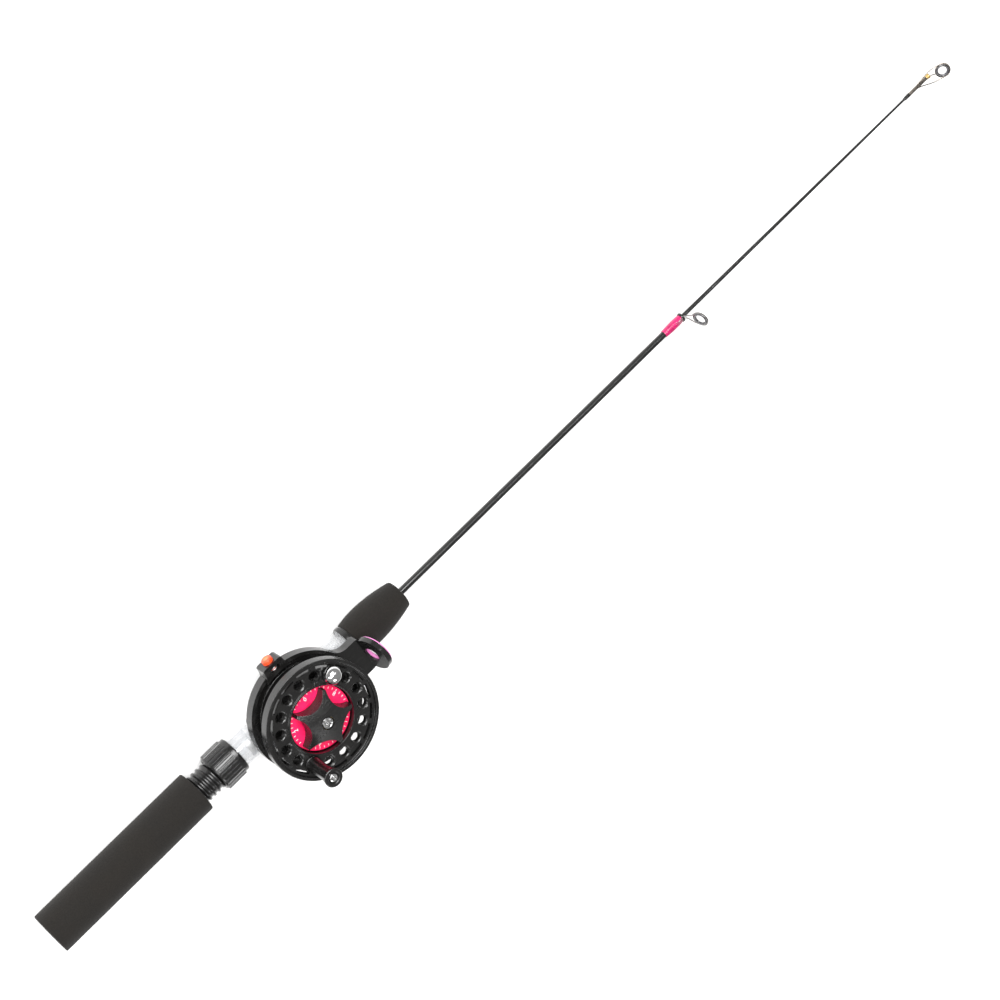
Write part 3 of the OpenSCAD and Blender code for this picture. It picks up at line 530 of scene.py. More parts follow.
# %% Moulded black plastic
def moulded(name, level, gloss, grain_scale, grain_depth, warmth=0.03, coat=0.0):
    """Black plastic: gloss is its lowest and highest roughness."""
    plastic = Finish(name, Coat_Weight=coat, Coat_Roughness=0.12)
    slow = plastic.noise(90, detail=3)
    grain = plastic.noise(grain_scale, detail=4, roughness=0.65)
    hairs = plastic.noise(900, detail=2, where=plastic.stretched(0.12, 1.0, 0.5))
    dust = plastic.spread(grain * hairs, 0.28, 0.42)
    plastic.drive(
        Base_Color=plastic.mixed(dust, grey(level, warmth), grey(level * 1.9, warmth)),
        Roughness=plastic.spread(0.7 * slow + 0.3 * hairs, 0.35, 0.65, gloss[0], gloss[1]),
    )
    plastic.bump(grain, grain_depth, 0.6)
    return plastic.material


shiny_black = moulded("shiny_black_plastic", 0.0055, (0.16, 0.3), 1100, 0.02)
spool_black = moulded("spool_black_plastic", 0.005, (0.17, 0.32), 1300, 0.02)
satin_black = moulded("satin_black_plastic", 0.004, (0.2, 0.34), 1800, 0.02, 0.02)
knob_black = moulded("knob_black_plastic", 0.006, (0.14, 0.3), 1500, 0.02)
star_black = moulded("pitted_black_plastic", 0.007, (0.14, 0.36), 1300, 0.3, 0.02)
inner_black = moulded("inner_black_plastic", 0.02, (0.45, 0.6), 1500, 0.02)

# %% [markdown]
# The lower blank and the tip section are lacquered. The lacquer's clear coat gives the long,
# thin highlight, and under it the fibres run along the rod as faint streaks.


# %% Lacquered blank
def lacquered(name, level, coat_roughness):
    lacquer = Finish(name, Specular_IOR_Level=0.2, Coat_Weight=0.6, Coat_Roughness=coat_roughness)
    fibres = lacquer.noise(2600, detail=3, where=lacquer.stretched(0.03, 1.0, 1.0))
    slow = lacquer.noise(35, detail=2)
    streaks = lacquer.spread(fibres, 0.4, 0.65)
    lacquer.drive(
        Base_Color=lacquer.mixed(streaks, grey(level), grey(level * 2.4)),
        Roughness=lacquer.spread(slow, 0.35, 0.65, 0.26, 0.4),
    )
    lacquer.bump(fibres, 0.012, 0.4)
    return lacquer.material


blank_lacquer = lacquered("blank_lacquer", 0.004, 0.03)
tip_lacquer = lacquered("tip_lacquer", 0.006, 0.08)

# %% [markdown]
# Clear plastic shows what is behind it, so alpha lets the light through and a low roughness
# keeps its highlights sharp. Thick places and moulding marks are milkier, so alpha rises
# with a slow noise, and flow lines run along the tube.


# %% Clear plastic
def make_clear():
    clear = Finish("clear_plastic", Specular_IOR_Level=0.9, Coat_Weight=1.0, Coat_Roughness=0.03)
    flow = clear.noise(300, detail=2, where=clear.stretched(0.06, 1.0, 1.0))
    haze = clear.noise(90, detail=2)
    milk = clear.spread(0.35 * haze + 0.65 * flow, 0.36, 0.62)
    clear.drive(
        Base_Color=clear.mixed(milk, (0.5, 0.52, 0.55, 1), (0.9, 0.91, 0.92, 1)),
        Roughness=clear.spread(haze, 0.3, 0.7, 0.05, 0.16),
        Alpha=clear.spread(milk, 0.0, 1.0, 0.34, 0.1),
    )
    clear.bump(0.6 * flow + 0.4 * haze, 0.3, 0.6)
    return clear.material


clear_plastic = make_clear()


# %% [markdown]
# The coloured pieces are the crimson dial, the pink ring, the orange button and the thread
# winding. A coloured plastic varies a little in depth of colour. The winding is rows of
# thread side by side under clear epoxy: the rows are in its mesh, and the clear coat is smooth.


# %% Coloured plastic
def coloured(name, deep, bright, gloss, coat=0.0, grain_depth=0.012):
    colour = Finish(name, Coat_Weight=coat, Coat_Roughness=0.06)
    slow = colour.noise(240, detail=3)
    grain = colour.noise(1900, detail=3)
    tone = colour.spread(0.6 * slow + 0.4 * grain, 0.35, 0.65)
    colour.drive(
        Base_Color=colour.mixed(tone, deep, bright),
        Roughness=colour.spread(slow, 0.3, 0.7, gloss[0], gloss[1]),
    )
    colour.bump(grain, grain_depth, 0.5)
    return colour.material


dial_crimson = coloured("dial_crimson", (0.74, 0.006, 0.07, 1), (0.88, 0.012, 0.1, 1), (0.3, 0.42))
ring_pink = coloured("ring_pink", (0.56, 0.14, 0.4, 1), (0.74, 0.25, 0.56, 1), (0.2, 0.32), 0.4)
dial_white = coloured("dial_white", (0.74, 0.72, 0.71, 1), (0.88, 0.87, 0.86, 1), (0.4, 0.55))


# %% [markdown]
# The winding is nylon thread, packed side by side and flooded with epoxy. Its ridges are in
# the mesh, so the finish adds what is smaller: fibres across the thread, a slow change of
# depth where the epoxy is thicker, and a smooth coat on top.

# %% Thread winding
def make_winding():
    winding = Finish("pink_winding", Specular_IOR_Level=0.3, Coat_Weight=0.7, Coat_Roughness=0.03)
    threads = winding.noise(1700, detail=3, where=winding.stretched(2.6, 0.35, 0.35))
    slow = winding.noise(170, detail=2)
    tone = winding.spread(0.65 * threads + 0.35 * slow, 0.35, 0.65)
    winding.drive(
        Base_Color=winding.mixed(tone, (0.24, 0.001, 0.05, 1), (0.56, 0.01, 0.13, 1)),
        Roughness=winding.spread(threads, 0.3, 0.7, 0.3, 0.5),
    )
    winding.bump(threads, 0.03, 0.5)
    return winding.material


pink_winding = make_winding()


# %% [markdown]
# The orange is paler in the middle of the cap. The distance
# from the button's axis, worked out from the place, makes that soft spot, and it stays with
# the cap. A painted texture could do it too, but would need an image.

# %% Push button
def make_button_orange():
    """Orange plastic that is paler in the middle of the cap."""
    orange = Finish("button_orange", Coat_Weight=0.3, Coat_Roughness=0.1)
    axis_height = sum(span("release_button", 2)) / 2
    centred = orange.add(
        "ShaderNodeMapping",
        {"vector_type": "POINT"},
        {"Vector": orange.place, "Location": (-reel_x * MM, 0, -axis_height * MM)},
    )
    parts = orange.tree.nodes.new("ShaderNodeSeparateXYZ")
    orange.fill(parts.inputs[0], centred)
    across = Reading(orange, parts.outputs["X"])
    up = Reading(orange, parts.outputs["Z"])
    off_centre = across * across + up * up
    middle = orange.spread(off_centre, 0.4e-6, 3.2e-6, 1.0, 0.0)
    grain = orange.noise(1500, detail=3)
    tone = orange.spread(0.75 * middle + 0.25 * grain, 0.1, 0.9)
    orange.drive(
        Base_Color=orange.mixed(tone, (0.84, 0.06, 0.012, 1), (0.95, 0.19, 0.06, 1)),
        Roughness=orange.spread(grain, 0.3, 0.7, 0.3, 0.45),
    )
    orange.bump(grain, 0.02, 0.4)
    return orange.material


button_orange = make_button_orange()

# %% [markdown]
# Bright metal is mostly what it reflects. What makes it real is small: slow changes of
# roughness, brushing on the turned steel, and a warmer tone on brass.


# %% Metal
def metal(name, dark, light, gloss, brushed=False, grain_depth=0.006):
    bright = Finish(name, Metallic=1.0)
    where = bright.stretched(0.2, 1.0, 4.0) if brushed else bright.place
    grain = bright.noise(1600, detail=4, where=where)
    slow = bright.noise(220, detail=3)
    tone = bright.spread(0.5 * grain + 0.5 * slow, 0.35, 0.65)
    bright.drive(
        Base_Color=bright.mixed(tone, dark, light),
        Roughness=bright.spread(0.6 * slow + 0.4 * grain, 0.35, 0.65, gloss[0], gloss[1]),
    )
    bright.bump(grain, grain_depth, 0.4)
    return bright.material


chrome = metal("chrome", grey(0.5), grey(0.66), (0.06, 0.16))
guide_wire = metal("guide_wire", grey(0.17, 0.03), grey(0.34, 0.03), (0.2, 0.36))
tip_metal = metal("tip_metal", grey(0.12, 0.1), grey(0.28, 0.12), (0.2, 0.34))
steel = metal("steel", grey(0.42), grey(0.58), (0.26, 0.42), brushed=True)
brass = metal("brass", (0.5, 0.33, 0.11, 1), (0.68, 0.49, 0.2, 1), (0.24, 0.38))


# %% [markdown]
# The line runs over dark ceramic, which is smooth and slightly cloudy. The drag washer is
# felt: matt, uneven and hairy at a tenth of a millimetre, which a rough noise with many
# octaves gives better than a regular weave.

# %% Ceramic, felt and rubber
def make_ceramic():
    ceramic = Finish("guide_ceramic", Coat_Weight=0.8, Coat_Roughness=0.05)
    grain = ceramic.noise(2400, detail=3)
    slow = ceramic.noise(300, detail=2)
    ceramic.drive(
        Base_Color=ceramic.mixed(ceramic.spread(slow, 0.35, 0.65), grey(0.02), (0.04, 0.038, 0.046, 1)),
        Roughness=ceramic.spread(grain, 0.3, 0.7, 0.14, 0.26),
    )
    ceramic.bump(grain, 0.004, 0.4)
    return ceramic.material


def make_felt():
    felt = Finish("felt", Sheen_Weight=0.4, Sheen_Roughness=0.5)
    fibres = felt.noise(2600, detail=5, roughness=0.75)
    felt.drive(
        Base_Color=felt.mixed(felt.spread(fibres, 0.3, 0.7), (0.13, 0.11, 0.09, 1), (0.27, 0.23, 0.19, 1)),
        Roughness=felt.spread(fibres, 0.3, 0.7, 0.85, 1.0),
    )
    felt.bump(fibres, 0.12, 0.9)
    return felt.material


guide_ceramic = make_ceramic()
felt = make_felt()
tube_grey = coloured("tube_grey", grey(0.2, 0.03), grey(0.3, 0.03), (0.5, 0.65))


# %% [markdown]
# A finished piece needs what it moves with and its finish, and the CAD nodes that it stands
# for are hidden. One helper does all of this, so that no piece is forgotten.
# CAD nodes that are already right only get a better finish.

# %% Hand a piece to its body
def hand_over(obj, body, finish, slot, *nodes):
    """Gives a piece its finish and its body, and hides the CAD nodes that it stands for. The slot is not
    used.
    """
    obj.data.materials.clear()
    obj.data.materials.append(finish)
    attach(obj, body)
    if nodes:
        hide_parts(*nodes)
    return obj


def refinish(finish, *nodes):
    """A CAD node whose shape is right keeps its mesh and gets a better finish."""
    for node in nodes:
        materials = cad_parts[node].data.materials
        materials.clear()
        materials.append(finish)


# %% [markdown]
# ## Rear grip and foregrip
#
# Both grips are foam tubes, cut square and sanded. The profile of each is spun round the
# rod's axis with rings close together, the cut edges are rounded, and a Displace modifier
# with a soft cloud texture makes the surface a little uneven, as foam is.


# %% Uneven foam
def uneven(obj, depth):
    """Raises and lowers the surface by a fraction of a millimetre."""
    clouds = bpy.data.textures.new("foam unevenness", "CLOUDS")
    clouds.noise_scale = 5 * MM
    only(obj)
    relief = obj.modifiers.new("Uneven", "DISPLACE")
    relief.texture = clouds
    relief.texture_coords = "LOCAL"
    relief.strength = depth * MM
    relief.mid_level = 1.0
    bpy.ops.object.modifier_apply(modifier=relief.name)
    return obj


# %% [markdown]
# The rear grip is a foam tube glued over the handle tube, with a wider pocket in front for
# the seat's sleeve. Its whole section, pockets included, is one line spun round the rod: it
# could be a cylinder with holes, but then the rims would need their own rounding.

# %% Rear grip
foam_edge = 0.9
grip_r = half_width("rear_grip")
tube_r = half_width("handle_tube")
shank_r = 6.95
plug_r = half_width("butt_plug") + 0.05
shank_start = span("threaded_sleeve", 0)[0]

rings = 46
outside = [(grip_r, grip_end * i / rings) for i in range(rings + 1)]
rear_grip = turned(
    "rear_grip_foam",
    [(tube_r, 1.5), (plug_r, 1.5), (plug_r, 0.0)]
    + outside
    + [(shank_r, grip_end), (shank_r, shank_start - 0.3), (tube_r, shank_start - 0.3)],
    axis=X,
    steps=128,
)
rounded(rear_grip, foam_edge, 4)
uneven(rear_grip, 0.07)
hand_over(rear_grip, "rod", foam, "foam", "rear_grip")
print("rear grip:", round(2 * grip_r, 1), "x", round(grip_end, 1), "mm")

# %% [markdown]
# A plastic plug closes the handle tube. It has a shallow dished face, which a turned line
# gives directly, and it sits a little inside the foam so that the foam takes the knocks.

# %% Butt plug
plug_start, plug_end = span("butt_plug", 0)
butt_plug = turned(
    "butt_plug_cap",
    [(0, 0.9), (2.2, 0.9), (2.6, 0.5), (4.6, 0.5), (plug_r - 0.5, plug_start), (plug_r - 0.1, 0.8)]
    + [(plug_r - 0.1, 1.5), (tube_r - 0.95, 1.5), (tube_r - 0.95, plug_end), (0, plug_end)],
    axis=X,
    closed=False,
)
rounded(butt_plug, 0.15, 2)
hand_over(butt_plug, "rod", satin_black, "nut_black", "butt_plug")

# %% [markdown]
# The foregrip is ground to a barrel. A sine swells it to its belly and a cosine runs it down
# to the tip end, so its outline is two formulas and has no bumps, as a grinding wheel would
# leave it. Rings close together let the foam's unevenness show.

# %% Foregrip
collar_r = half_width("fore_collar")
foregrip_r = half_width("foregrip")
foregrip_tip_r = 7.4
blank_r = half_width("lower_blank")
belly = 0.32


def foregrip_radius(t):
    """The foregrip swells to its belly and then runs down to its tip end."""
    if t < belly:
        return collar_r + (foregrip_r - collar_r) * math.sin(math.pi / 2 * t / belly)
    fall = math.cos(math.pi / 2 * (t - belly) / (1 - belly)) ** 0.9 if t < 1 else 0
    return foregrip_tip_r + (foregrip_r - foregrip_tip_r) * fall


rings = 34
length = foregrip_end - collar_end
outside = [(foregrip_radius(i / rings), length * i / rings) for i in range(rings + 1)]
seat_r = half_width("seat_tube")
nose = span("seat_tube", 0)[1] - collar_end
foregrip = turned(
    "foregrip_foam",
    [(seat_r + 0.05, nose), (seat_r + 0.05, 0)]
    + outside
    + [(blank_r + 0.05, length), (blank_r + 0.05, nose)],
    at=(collar_end, 0, 0),
    axis=X,
    steps=128,
)
rounded(foregrip, 0.7, 4)
uneven(foregrip, 0.06)
hand_over(foregrip, "rod", foam, "foam", "foregrip")

# %% [markdown]
# A thin collar closes the foam against the seat. A fine step at its front edge catches a
# line of light, which is what makes such a small ring look like a separate piece.

# %% Fore collar
collar_len = collar_end - collar_start
fore_collar = turned(
    "fore_collar_ring",
    [(seat_r + 0.05, 0), (collar_r - 0.3, 0), (collar_r, 0.4), (collar_r, collar_len - 0.9)]
    + [(collar_r - 0.35, collar_len - 0.6), (collar_r - 0.35, collar_len), (seat_r + 0.05, collar_len)],
    at=(collar_start, 0, 0),
    axis=X,
)
rounded(fore_collar, 0.15, 2)
hand_over(fore_collar, "rod", satin_black, "nut_black", "fore_collar")

# %% [markdown]
# ## Seat thread and lock nut
#
# The seat's thread is a real helix. A Screw modifier sweeps one tooth's outline round the
# axis and along it, two bisections cut the ends square, and a bore is cut through. The nut is
# drawn as an outline with a rib on every twelfth of it, pulled along the rod, and joined to
# its two plain rims.

# %% Threaded sleeve
thread_r = half_width("threaded_sleeve")
thread_depth = 0.8
thread_pitch = 2.75
root_r = thread_r - thread_depth
tooth = [(0.0, root_r), (0.24, root_r), (0.34, root_r + 0.12), (0.5, thread_r - 0.1)]
tooth += [(0.57, thread_r), (0.73, thread_r), (0.8, thread_r - 0.1), (0.94, root_r + 0.12), (1, root_r)]
first_turn = grip_end - 2 * thread_pitch
turns = math.ceil((sleeve_end - first_turn) / thread_pitch) + 1
sleeve = drawn("threaded_sleeve_helix", [(first_turn + x * thread_pitch, 0, r) for x, r in tooth])
only(sleeve)
helix = sleeve.modifiers.new("Helix", "SCREW")
helix.axis = "X"
helix.screw_offset = thread_pitch * MM
helix.iterations = turns
helix.steps = helix.render_steps = 96
helix.use_merge_vertices = True
helix.merge_threshold = TOUCHING
bpy.ops.object.modifier_apply(modifier=helix.name)
bpy.ops.object.mode_set(mode="EDIT")
for end, outer in ((grip_end + 0.1, False), (sleeve_end, True)):
    bpy.ops.mesh.select_all(action="SELECT")
    bpy.ops.mesh.bisect(
        plane_co=(end * MM, 0, 0),
        plane_no=(1, 0, 0),
        use_fill=True,
        clear_outer=outer,
        clear_inner=not outer,
    )
bpy.ops.mesh.select_all(action="SELECT")
bpy.ops.mesh.remove_doubles(threshold=TOUCHING)
bpy.ops.mesh.normals_make_consistent(inside=False)
fused(sleeve, bar("shank", (shank_start, 0, 0), (grip_end + 1, 0, 0), root_r - 0.1))
cut(sleeve, bar("sleeve bore", (shank_start - 1, 0, 0), (sleeve_end + 1, 0, 0), tube_r + 0.05))
only(sleeve)
bpy.ops.object.shade_smooth_by_angle(angle=math.radians(40))
hand_over(sleeve, "rod", satin_black, "nut_black", "threaded_sleeve")
print("thread:", turns, "turns at", thread_pitch, "mm")

# %% [markdown]
# The nut is gripped by thirty ribs. Its outline goes round rib by rib and is pulled along the
# rod; two plain rims and a small index nub are joined to it, and the bore is cut last. Bevels
# come before the joins, while the edges are still simple.

# %% Lock nut
nut_r = half_width("lock_nut")
nut_len = nut_end - nut_start
rim_r = nut_r - 0.75
rim_len = 2.6
bore_r = thread_r + 0.08
rib_count = 30
rib_step = 360 / rib_count
outline = []
for i in range(rib_count):
    middle = i * rib_step
    for turn, radius in ((-0.34, nut_r - 0.5), (-0.24, nut_r), (0.24, nut_r), (0.34, nut_r - 0.5)):
        angle = math.radians(middle + turn * rib_step)
        outline.append((radius * math.cos(angle), radius * math.sin(angle)))
lock_nut = plate("lock_nut_ribbed", outline, 0.9, nut_len - rim_len, (nut_start, 0, 0), X)
rounded(lock_nut, 0.12, 2)
rims = turned(
    "rims",
    [(bore_r, 0), (rim_r - 0.5, 0), (rim_r - 0.1, 0.3), (rim_r, 0.9), (rim_r, 1.4), (rim_r - 0.4, 1.6)]
    + [(rim_r - 0.4, nut_len - rim_len - 0.3), (rim_r, nut_len - rim_len)]
    + [(rim_r, nut_len - 0.7), (rim_r - 0.15, nut_len - 0.25), (rim_r - 0.6, nut_len), (bore_r, nut_len)],
    at=(nut_start, 0, 0),
    axis=X,
)
nub_angle = -20
nub = block("nub", (nut_end - 2.3, -0.9, rim_r - 0.5), (nut_end - 0.9, 0.9, rim_r + 0.3))
nub.data.transform(Matrix.Rotation(math.radians(nub_angle), 4, X))
rounded(nub, 0.25, 3)
fused(lock_nut, rims, nub)
flange_r = bore_r + 0.55
cut(
    lock_nut,
    bar("nut bore", (nut_start - 1, 0, 0), (nut_end + 1, 0, 0), bore_r),
    bar("flange seat", (nut_end - 2.7, 0, 0), (nut_end + 1, 0, 0), flange_r),
)
smoothed(lock_nut, 35)
hand_over(lock_nut, "lock nut", satin_black, "nut_black", "lock_nut")

# %% [markdown]
# ## Clear seat
#
# The seat is a clear tube between the thread and the foregrip. Two clear hoods hold the
# reel's toes on it: one is fixed against the foregrip, the other slides with the nut. Each
# hood is a ring with a raised scoop on its top.

# %% Seat tube
seat_start, seat_end = span("seat_tube", 0)
seat_bore = 3.5
spigot_r = tube_r
seat_tube = turned(
    "seat_tube_clear",
    [(seat_bore, seat_start), (spigot_r, seat_start), (spigot_r, sleeve_end), (seat_r, sleeve_end)]
    + [(seat_r, sleeve_end + 2), (seat_r, seat_end), (seat_bore, seat_end)],
    axis=X,
)
rounded(seat_tube, 0.25, 2)
hand_over(seat_tube, "rod", clear_plastic, "clear_plastic", "seat_tube")

# %% [markdown]
# Each hood is a clear ring with a scoop that covers a toe. A bar cut between two flat sides is
# the scoop, a smaller one is its pocket, and the bore goes through both. The sliding hood
# also has a flange that turns inside the nut.

# %% Hoods
hood_bore = seat_r + 0.08
hood_wall = 0.9
toe_r = seat_r + 0.2
toe_top = toe_r + 1.2
scoop_bore = toe_top + 0.2
scoop_r = scoop_bore + hood_wall
toe_width = 7.8


def scoop(name, start, end, radius, width):
    """The top of a bar along the rod, between two flat sides."""
    top = bar(name, (start, 0, 0), (end, 0, 0), radius, steps=128)
    keep = block("keep", (start - 1, -width / 2, 0), (end + 1, width / 2, radius + 1))
    return shaped(top, "INTERSECT", keep)


def hood(name, closed_end, mouth_end, ring_radius):
    """A clear hood from its closed end to the mouth that takes the toe."""
    way = 1 if mouth_end > closed_end else -1
    low, high = min(closed_end, mouth_end), max(closed_end, mouth_end)
    ring = bar(name, (low, 0, 0), (high, 0, 0), ring_radius, steps=128)
    if ring_radius < scoop_r:
        fused(ring, scoop("scoop", low, high, scoop_r, toe_width + 3))
    pocket = (mouth_end - way * 5.6, mouth_end + way)
    cut(
        ring,
        bar("bore", (low - 1, 0, 0), (high + 1, 0, 0), hood_bore, steps=128),
        scoop("pocket", min(pocket), max(pocket), scoop_bore, toe_width + 0.8),
    )
    return ring


flange_start = span("sliding_hood", 0)[0]
hood_start = nut_end + 0.3
hood_end = span("sliding_hood", 0)[1]
sliding = hood("sliding_hood_clear", hood_start, hood_end, seat_r + hood_wall)
collar = turned(
    "flange",
    [(hood_bore, flange_start), (bore_r + 0.4, flange_start), (bore_r + 0.4, hood_start + 0.2)]
    + [(hood_bore, hood_start + 0.2)],
    axis=X,
)
fused(sliding, collar)
rounded(tidied(sliding), 0.18, 2, 40)
hand_over(sliding, "sliding hood", clear_plastic, "clear_plastic", "sliding_hood")

fixed_start, fixed_end = span("fixed_hood", 0)
fixed = hood("fixed_hood_clear", fixed_end, fixed_start, half_width("fixed_hood"))
rounded(tidied(fixed), 0.5, 4, 40)
hand_over(fixed, "rod", clear_plastic, "clear_plastic", "fixed_hood")

# %% [markdown]
# ## Blanks, winding and line guides
#
# The lower blank is a tapered tube, and the thinner tip section runs inside it. At the mouth
# a pink winding holds the line guide's foot. The winding's mesh has one small ridge for each
# turn of thread, under a swelling of epoxy. The guides are bent wire, so they are curves.

# %% Lower blank
blank_start = span("lower_blank", 0)[0]
mouth_r = 1.7
blank_bore = 1.3
tip_root_r = 1.15
socket_start = mouth - 12.5
lower_blank = turned(
    "lower_blank_tube",
    [(blank_bore, blank_start), (blank_r, blank_start), (blank_r - 0.03, foregrip_end), (mouth_r, mouth)]
    + [(tip_root_r + 0.05, mouth), (tip_root_r + 0.05, socket_start), (blank_bore, socket_start)],
    axis=X,
    steps=64,
)
rounded(lower_blank, 0.06, 2)
hand_over(lower_blank, "rod", blank_lacquer, "blank_black", "lower_blank")

# %% [markdown]
# The tip section is a solid fibre rod. Its root is thicker and jams in the mouth of the lower
# blank, so the section is a line with a step, spun with few enough faces to stay light.

# %% Tip section
root_start, tip_blank_end = span("upper_blank", 0)
tip_end_r = 0.56
tip_start = span("tip_top_frame", 0)[0]
upper_blank = turned(
    "tip_section_blank",
    [(0, root_start), (1.05, root_start), (1.25, root_start + 0.6), (1.25, socket_start - 0.4)]
    + [(tip_root_r, socket_start - 0.2), (tip_root_r, socket_start), (tip_end_r, tip_blank_end)]
    + [(0, tip_blank_end)],
    axis=X,
    steps=48,
    closed=False,
)
only(upper_blank)
bpy.ops.object.shade_smooth_by_angle(angle=math.radians(30))
hand_over(upper_blank, "tip section", tip_lacquer, "tip_black", "upper_blank")

# %% [markdown]
# Each turn of thread is one small wave on the winding's outline, over a swell that follows the
# epoxy. A bump could fake the waves, but at the silhouette they would be missing.

# %% Turns of thread
wrap_start, wrap_end = span("guide_wrap", 0)
wrap_len = wrap_end - wrap_start
wrap_r = half_width("guide_wrap")
under_r = mouth_r + 0.06
turns = 34
ridge = 0.035
points_per_turn = 4
samples = turns * points_per_turn
line = [(under_r - 0.04, wrap_start)]
for i in range(samples + 1):
    t = i / samples
    swell = math.sqrt(math.sin(math.radians(14 + 152 * t))) * (0.7 + 0.3 * t)
    thread = ridge * abs(math.sin(math.pi * t * turns))
    line.append((under_r + (wrap_r - under_r) * swell + thread - ridge, wrap_start + t * wrap_len))
line.append((under_r - 0.04, wrap_end))
winding = turned("thread_winding", line, axis=X, steps=64)
only(winding)
bpy.ops.object.shade_smooth_by_angle(angle=math.radians(60))
hand_over(winding, "rod", pink_winding, "wrap_pink", "guide_wrap")

trim_start, trim_end = span("wrap_trim", 0)
trim_r = half_width("wrap_trim")
trim = turned(
    "winding_trim",
    [(under_r, trim_start), (trim_r - 0.15, trim_start), (trim_r, trim_start + 0.3)]
    + [(trim_r, trim_end - 0.4), (trim_r - 0.25, trim_end), (under_r, trim_end)],
    axis=X,
    steps=64,
)
rounded(trim, 0.1, 2)
hand_over(trim, "rod", blank_lacquer, "nut_black", "wrap_trim")

# %% [markdown]
# A ceramic ring is rounded all over, so its section is an oval spun round the hole. Both
# guides lean towards the tip, and every place round them is given by an angle from the lowest
# point, which suits both the rings and the wires that hold them.

# %% Ceramic rings
ceramic_t = 1.3


def leaning(lean):
    """The axis of a ring whose top leans towards the tip, lean in degrees."""
    angle = math.radians(lean)
    return Vector((math.cos(angle), 0, -math.sin(angle)))


def on_rim(centre, lean, radius, angle):
    """A point round a leaning ring, angle in degrees from its lowest point."""
    turn, tilt = math.radians(angle), math.radians(lean)
    down = Vector((-math.sin(tilt), 0, -math.cos(tilt)))
    return Vector(centre) + radius * (math.cos(turn) * down + math.sin(turn) * Y)


def ceramic_ring(name, centre, lean, radius, hole):
    """A ceramic ring, waisted towards its hole so that line slides over it."""
    half = ceramic_t / 2
    middle = (radius + hole) / 2
    profile = arc(middle, 0, 1, 0, 360, 24)[:-1]
    profile = [(middle + (x - middle) * (radius - hole) / 2, y * half) for x, y in profile]
    ring = turned(name, profile, centre, leaning(lean), 72)
    only(ring)
    bpy.ops.object.shade_smooth_by_angle(angle=math.radians(50))
    return ring


def band(name, centre, lean, radius, wall, width):
    """The thin metal band round a ceramic ring."""
    half = width / 2
    profile = [(radius, -half), (radius + wall, -half), (radius + wall, half), (radius, half)]
    return rounded(turned(name, profile, centre, leaning(lean), 72), 0.12, 2)


# %% [markdown]
# The guide has a single foot: two wires lie side by side under the winding, rise, spread and
# clasp the ring. Each is one smooth path, and the other side is its mirror image, so the legs
# are made by one loop.

# %% Lower line guide
guide_low, guide_high = node_box("guide_ring")
guide_centre = (guide_low + guide_high) / 2
guide_lean = 17
guide_r = (guide_high.y - guide_low.y) / 2
wire_r = 0.35
foot_z = mouth_r + 0.3
guide = [band("guide_band", guide_centre, guide_lean, guide_r + 0.02, 0.4, 0.8)]
for side in (-1, 1):
    path = [
        (mouth - 8.8, side * 0.42, foot_z - 0.15),
        (mouth - 5, side * 0.42, foot_z),
        (mouth - 0.6, side * 0.45, foot_z),
        (mouth + 0.5, side * 0.55, foot_z + 0.25),
        (mouth + 0.75, side * 1.0, foot_z + 2.2),
        on_rim(guide_centre, guide_lean, guide_r + 1.1, side * 30),
        on_rim(guide_centre, guide_lean, guide_r + 0.35, side * 48),
        on_rim(guide_centre, guide_lean, guide_r + 0.3, side * 80),
        on_rim(guide_centre, guide_lean, guide_r + 0.28, side * 100),
    ]
    guide.append(wire("leg", path, wire_r))
guide = joined("line_guide_wire", guide)
hand_over(guide, "rod", guide_wire, "chrome", "guide_frame")
ring = ceramic_ring("line_guide_ring", guide_centre, guide_lean, guide_r, 2.3)
hand_over(ring, "rod", guide_ceramic, "ceramic_dark", "guide_ring")

# %% [markdown]
# The tip-top is a thin tube with a brazed, flared end. One long wire starts on a side of the
# tube, goes round the ring and comes back to the other side, and a short keel wire stands
# under the ring.

# %% Tip-top
tip_low, tip_high = node_box("tip_ring")
tip_centre = (tip_low + tip_high) / 2
tip_lean = 55
tip_ring_r = (tip_high.y - tip_low.y) / 2
tube_end = tip_centre.x - 5.1
tube_out = 0.99
tip_tube = turned(
    "tip_tube",
    [(0.68, tip_start), (tube_out, tip_start), (tube_out, tube_end - 1.8), (0.5, tube_end - 1.8)]
    + [(0.5, tube_end - 3), (0.68, tube_end - 3)],
    axis=X,
    steps=48,
)
rounded(tip_tube, 0.08, 2)
tip_flare = turned(
    "tip_flare_brazed",
    [(0.2, tube_end - 2.2), (tube_out + 0.06, tube_end - 2.2), (tube_out + 0.1, tube_end - 1.5)]
    + [(tube_out + 0.3, tube_end - 0.7), (tube_out + 0.45, tube_end - 0.1), (0.2, tube_end)],
    axis=X,
    steps=48,
)
rounded(tip_flare, 0.1, 2)
hand_over(tip_flare, "tip section", brass, "chrome")
loop_r = tip_ring_r + 0.42
loop = [on_rim(tip_centre, tip_lean, loop_r, 180 + a) for a in range(-72, 73, 12)]
path = [(tip_start + 6.5, -0.9, 0.1), (tip_start + 8.5, -1.3, 0.4), (tip_start + 12.5, -2.9, 1.9)]
path += [(tip_start + 16.5, -3.9, 3.3)]
mirrored = [(x, -y, z) for x, y, z in reversed(path)]
legs = wire("tip_legs", path + loop[::-1] + mirrored, 0.28)
keel = wire(
    "tip_keel",
    [
        (tube_end - 1.5, 0, 0.5),
        (tube_end + 0.4, 0, 1.2),
        on_rim(tip_centre, tip_lean, loop_r + 0.35, 0),
        on_rim(tip_centre, tip_lean, loop_r - 0.05, 0) + Vector((0.1, 0, 0.3)),
    ],
    0.3,
)
